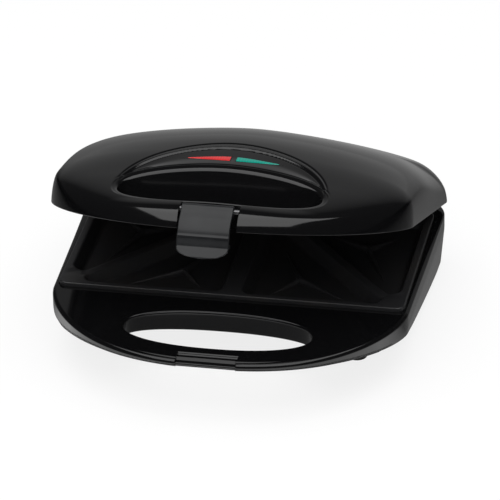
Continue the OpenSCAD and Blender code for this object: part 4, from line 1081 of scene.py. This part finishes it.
class TOASTER_OT_plates(bpy.types.Operator):
    """Two coated heating plates with triangular pockets, parting ridges and star marks"""

    bl_idname = "toaster.plates"
    bl_label = "Heating plates"

    def execute(self, context):
        s = context.scene.toaster_sizes
        coat = material("non-stick coating", coated)
        self.plate(s).make("lower_pocket_plate", "base", "plate", coat, ("lower_plate",),
                           lambda p: p + [0, 0, RIM_Z])
        upper = self.plate(s)
        upper.faces = [f[::-1] for f in upper.faces]
        upper.make("upper_pocket_plate", "lid", "plate", coat, ("upper_plate",),
                   lambda p: raise_lid(at_height(p, UPPER_RIM_Z - p[:, 2])))
        return {"FINISHED"}

    def star_arm(self, m, mid, tip):
        """One tapering ridge of a star mark."""
        arm = (tip - mid) * STAR_REACH
        side = np.array([-unit(arm)[1], unit(arm)[0]])
        floor = -POCKET_D - STAR_SUNK
        pts = []
        for t in np.linspace(-0.04, 1, 22):
            left = 1 - max(t, 0)
            hw, h = STAR_HW * left ** 0.9 + 0.25, STAR_H * left ** 1.15 + 0.15
            pts.append([[*(mid + arm * t + side * hw * math.sin(b)), floor + h * max(math.cos(b), 0) ** 0.8]
                        for b in np.radians(np.linspace(-90, 90, 13))])
        m.grid(pts, UP)

    def plate(self, s):
        m = Piece()
        path = fillet([(LIP_OUT, 0), (CORE_IN, 0), (ROOT_OUT, -POCKET_D), (FLOOR_OUT, -POCKET_D)],
                      [s.pocket_lip * MM, s.pocket_root * MM], 7)
        edges = []
        for core in pocket_cores():
            loops = [triangle_loop(core, d) for d, _ in path]
            drop = plate_top(loops[0])
            rows = [at_height(q, z + drop * (1 + z / POCKET_D)) for q, (_, z) in zip(loops, path)]
            mid = core.mean(0)
            m.loft(rows, away_from(*mid, -1, 4))
            m.fill([rows[-1]], -POCKET_D)
            edges.append(loops[0])
            for tip in core:
                self.star_arm(m, mid, tip)
        outer = rounded_rect(PLATE_HW, PLATE_HD, PLATE_CY, PLATE_R, 12, 40)
        out = outward(outer)
        rows = [at_height(outer - out * inset, -drop) for inset, drop in (
            (PLATE_EDGE_R + 0.5, 0), *round_over(PLATE_EDGE_R, range(0, 91, 18)), (0, 2.5),
            (0, FLANGE_T - 0.3), (0.3, FLANGE_T), (BLOCK_IN - 0.3, FLANGE_T), (BLOCK_IN, FLANGE_T + 0.5),
            (BLOCK_IN, 8), (BLOCK_IN, BLOCK_T - 0.6), (BLOCK_IN + 0.6, BLOCK_T))]
        m.loft(rows, away_from(0, PLATE_CY))
        m.fill([rows[-1]], -BLOCK_T, up=-1)
        m.fill([rows[0]] + edges, plate_top, smooth=True)
        return m


class TOASTER_OT_lenses(bpy.types.Operator):
    """Red and green lamp lenses in their dark seat"""

    bl_idname = "toaster.lenses"
    bl_label = "Lamp lenses"

    def drop(self, s, side, grow, tail, lift, crown, depth):
        """A long pointed drop that lies on the panel."""
        t = np.concatenate([np.linspace(0, 0.06, 4), np.linspace(0.1, 0.94, 30), np.linspace(0.96, 1, 4)])
        v = np.linspace(-1, 1, 15)
        half = (LENS_HALF + grow) * (1 - t ** 1.6 * 0.985)
        x = LENS_X + side * np.repeat((LENS_GAP - grow + (LENS_LEN + grow + tail) * t)[:, None], len(v), 1)
        y = LENS_Y + half[:, None] * v[None]
        top = np.dstack([x, y, lid_top(x, y, INLAND, s) + lift + crown * (1 - v[None] ** 4)])
        m = Piece()
        m.grid(top, UP)
        rim = np.concatenate([top[:, 0], top[-1, 1:-1], top[::-1, -1], top[0, -2:0:-1]])
        m.loft([rim, rim - [0, 0, depth]], away_from(*rim.mean(0)[:2]))
        return m

    def execute(self, context):
        s = context.scene.toaster_sizes
        dark = material("lens seat", dull((0.004, 0.004, 0.004), 0.7))
        red, green = material("red lens", red_plastic), material("green lens", green_plastic)
        for side, name, node, plastic in ((-1, "red_lens", "power_lens", red),
                                          (1, "green_lens", "ready_lens", green)):
            lens = self.drop(s, side, 0, 0, lift=0.10, crown=0.30, depth=1.2)
            lens.make(name, "lid", name, plastic, (node,), raise_lid)
            seat = self.drop(s, side, SEAT_GROW, SEAT_TAIL, lift=0.05, crown=0.0, depth=0.6)
            seat.make(name + "_seat", "lid", "housing", dark, (), raise_lid)
        return {"FINISHED"}


class TOASTER_OT_finishes(bpy.types.Operator):
    """Finishes for the frame's own pieces that stay in view"""

    bl_idname = "toaster.finishes"
    bl_label = "Finishes"

    def execute(self, context):
        finish = {}
        for name, build, slots in (
                ("gloss black plastic", gloss_black, ("housing",)),
                ("grained black plastic", grained, ("cover", "inner_frame")),
                ("non-stick coating", coated, ("plate",)),
                ("satin black plastic", satin_black, ("latch",)),
                ("heat-tinted sheath", brushed((0.20, 0.17, 0.16), 0.42, 0.6), ("element",)),
                ("spring steel", brushed((0.56, 0.56, 0.58), 0.30), ("clamp",)),
                ("bright sheet", brushed((0.74, 0.74, 0.76), 0.22), ("reflector",)),
                ("switch metal", brushed((0.66, 0.62, 0.55), 0.30), ("thermostat",)),
                ("fuse can", brushed((0.72, 0.71, 0.69), 0.28), ("fuse",)),
                ("zinc", brushed((0.60, 0.61, 0.60), 0.26), ("screw",)),
                ("ground pin", brushed((0.16, 0.16, 0.165), 0.30), ("pin",)),
                ("off-white moulding", dull((0.70, 0.67, 0.60), 0.5), ("terminal",)),
                ("natural moulding", dull((0.62, 0.62, 0.57), 0.5), ("lamp_holder",)),
                ("silicone sleeve", dull((0.48, 0.10, 0.07), 0.55, 900.0), ("wire",)),
                ("black rubber", dull((0.016, 0.016, 0.016), 0.62, 1800.0, 0.1), ("gland", "feet")),
                ("glass fibre sleeve", braided, ("sleeve",)),
                ("red lens", red_plastic, ("red_lens",)), ("green lens", green_plastic, ("green_lens",)),
                ("red lamp", lens_plastic((0.8, 0.3, 0.22), (0.5, 0.1, 0.08)), ("red_lamp",)),
                ("green lamp", lens_plastic((0.3, 0.7, 0.5), (0.1, 0.4, 0.3)), ("green_lamp",))):
            finish.update(dict.fromkeys(slots, material(name, build)))
        slot_of = {part["node"]: part["material_slot"] for part in frame["record"]["subparts"]}
        for node, obj in frame["nodes"].items():
            for holder in [obj, *obj.children_recursive]:
                if holder.type == "MESH":
                    holder.data.materials.clear()
                    holder.data.materials.append(finish[slot_of[node]])
        return {"FINISHED"}


# ---- stage
class TOASTER_OT_stage(bpy.types.Operator):
    """Plain pale floor, soft studio light and the camera"""

    bl_idname = "toaster.stage"
    bl_label = "Stage"

    def execute(self, context):
        studio = context.scene.toaster_studio
        self.floor(tuple(colours().floor), studio.floor_shine)
        self.room(studio)
        self.softbox("top softbox", (0.05, -0.56, 2.1), (0.05, -0.05, 0.0), (2.9, 3.3), studio.top_power)
        fill = self.softbox("front fill", (0.3, -2.4, 0.9), (0, 0, 0.06), (1.6, 0.8), studio.fill_power)
        fill.visible_glossy = False
        self.camera(studio.lens_mm)
        return {"FINISHED"}

    def floor(self, colour, brightness):
        def build(sh):
            """White to the eye, with a soft shadow, and dimmer in reflections, where painted light lies on
            it.
            """
            seen, glossy = sh.rays()
            lit = sh.node("BsdfDiffuse", Color=sh.mix(sh.noise(3.0, 3.0) * 0.1, colour, darker(colour, 0.97)))
            # in reflections: a painted strip of light on the floor in front, a painted pool of light round
            # the object, a pale sweep behind and a dark room at the sides
            at = sh.place()
            away = sh.node("VectorMath", {"operation": "LENGTH"}, out=1, i0=at)
            y = sh.axis(1, at)
            off_strip = away - PAINTED_STRIP_R
            strip = (1 - off_strip * off_strip * PAINTED_STRIP_NARROW).clamp() * (y * PAINTED_STRIP_FADE).clamp()
            sweep = ((y / away - SWEEP_FROM) * BACKDROP_FADE).clamp() * SWEEP_LEVEL
            painted_pool = (1 - away * PAINTED_POOL_FADE).clamp() * PAINTED_POOL_LEVEL
            shine = (painted_pool.most(sweep) + strip * brightness) * glossy * (1 - seen)
            glow = sh.node("Emission", Color=WHITE, Strength=seen + shine)
            sh.node("OutputMaterial",
                    Surface=sh.node("MixShader", i0=(seen * FLOOR_WHITE + glossy).clamp(), i1=lit, i2=glow))
        turns = [2 * math.pi * k / FLOOR_SIDES for k in range(FLOOR_SIDES)]
        mesh = bpy.data.meshes.new("floor")
        mesh.from_pydata([(FLOOR_R * math.cos(t), FLOOR_R * math.sin(t), FLOOR_Z) for t in turns], [],
                         [tuple(range(FLOOR_SIDES))])
        mesh.materials.append(material("pale floor", build))
        obj = link("floor", mesh)

    def room(self, studio):
        """A pale backdrop behind the object, a dim room in front and at the sides."""
        world = bpy.data.worlds.new("studio")
        bpy.context.scene.world = world
        sh = Shade(world)
        seen, glossy = sh.rays()
        behind = ((sh.axis(1, sh.node("TexCoord", out=0)) - BACKDROP_FROM) * BACKDROP_FADE).clamp()
        mirrored = behind * studio.backdrop + ROOM_LEVEL
        level = seen + (1 - seen) * (glossy * mirrored + (1 - glossy) * studio.fill)
        sh.node("OutputWorld", Surface=sh.node("Background", Color=WHITE, Strength=level))

    def softbox(self, name, at, look, size, power):
        lamp = bpy.data.lights.new(name, "AREA")
        lamp.shape, lamp.size, lamp.size_y, lamp.energy = "RECTANGLE", size[0], size[1], power
        obj = link(name, lamp)
        obj.location = at
        obj.rotation_euler = (Vector(look) - Vector(at)).to_track_quat("-Z", "Y").to_euler()
        return obj

    def camera(self, lens_mm):
        turn, tilt, roll = (math.radians(v) for v in (CAMERA_TURN, CAMERA_TILT, CAMERA_ROLL))
        right = Vector((math.cos(turn), math.sin(turn), 0))
        ahead = Vector((-math.sin(turn) * math.cos(tilt), math.cos(turn) * math.cos(tilt), -math.sin(tilt)))
        up = Vector((-math.sin(turn) * math.sin(tilt), math.cos(turn) * math.sin(tilt), math.cos(tilt)))
        x = right * math.cos(roll) - up * math.sin(roll)
        y = right * math.sin(roll) + up * math.cos(roll)
        at = right * CAMERA_RIGHT + up * CAMERA_UP - ahead * CAMERA_AWAY + Vector(CAMERA_AIM)
        data = bpy.data.cameras.new("camera")
        data.lens, data.sensor_width, data.sensor_fit = lens_mm, 36.0, "HORIZONTAL"
        data.clip_start, data.clip_end = 0.05, 60.0
        obj = link("camera", data)
        obj.matrix_world = Matrix([(x[k], y[k], -ahead[k], at[k]) for k in range(3)] + [(0, 0, 0, 1)])
        bpy.context.scene.camera = obj
        bpy.context.scene.view_settings.view_transform = "Standard"


class TOASTER_PT_panel(bpy.types.Panel):
    """Lists the steps that build the toaster"""

    bl_label = "Sandwich toaster"
    bl_space_type = "VIEW_3D"
    bl_region_type = "UI"
    bl_category = "Toaster"

    def draw(self, context):
        for group in (getattr(context.scene, key) for key in GROUPS):
            box = self.layout.box()
            for key in group.bl_rna.properties.keys():
                if key not in ("rna_type", "name"):
                    box.prop(group, key)
        for step_class in STEPS:
            self.layout.operator(step_class.bl_idname)


STEPS = (TOASTER_OT_finishes, TOASTER_OT_stage, TOASTER_OT_lid_shell, TOASTER_OT_hinge_lugs,
         TOASTER_OT_base_shell, TOASTER_OT_latch, TOASTER_OT_plates, TOASTER_OT_lenses)
GROUPS = {"toaster_sizes": ToasterSizes, "toaster_colours": ToasterColours, "toaster_studio": StudioSettings}
CLASSES = (*GROUPS.values(), *STEPS, TOASTER_PT_panel)


def register():
    for cls in CLASSES:
        bpy.utils.register_class(cls)
    for key, group in GROUPS.items():
        setattr(bpy.types.Scene, key, bpy.props.PointerProperty(type=group))


def unregister():
    for key in GROUPS:
        delattr(bpy.types.Scene, key)
    for cls in reversed(CLASSES):
        bpy.utils.unregister_class(cls)


def main():
    register()
    ops = bpy.ops.toaster
    ops.finishes()
    ops.stage()
    ops.lid_shell()
    ops.hinge_lugs()
    ops.base_shell()
    ops.latch()
    ops.plates()
    ops.lenses()
    bpy.context.view_layer.update()


if __name__ == "__main__":
    main()
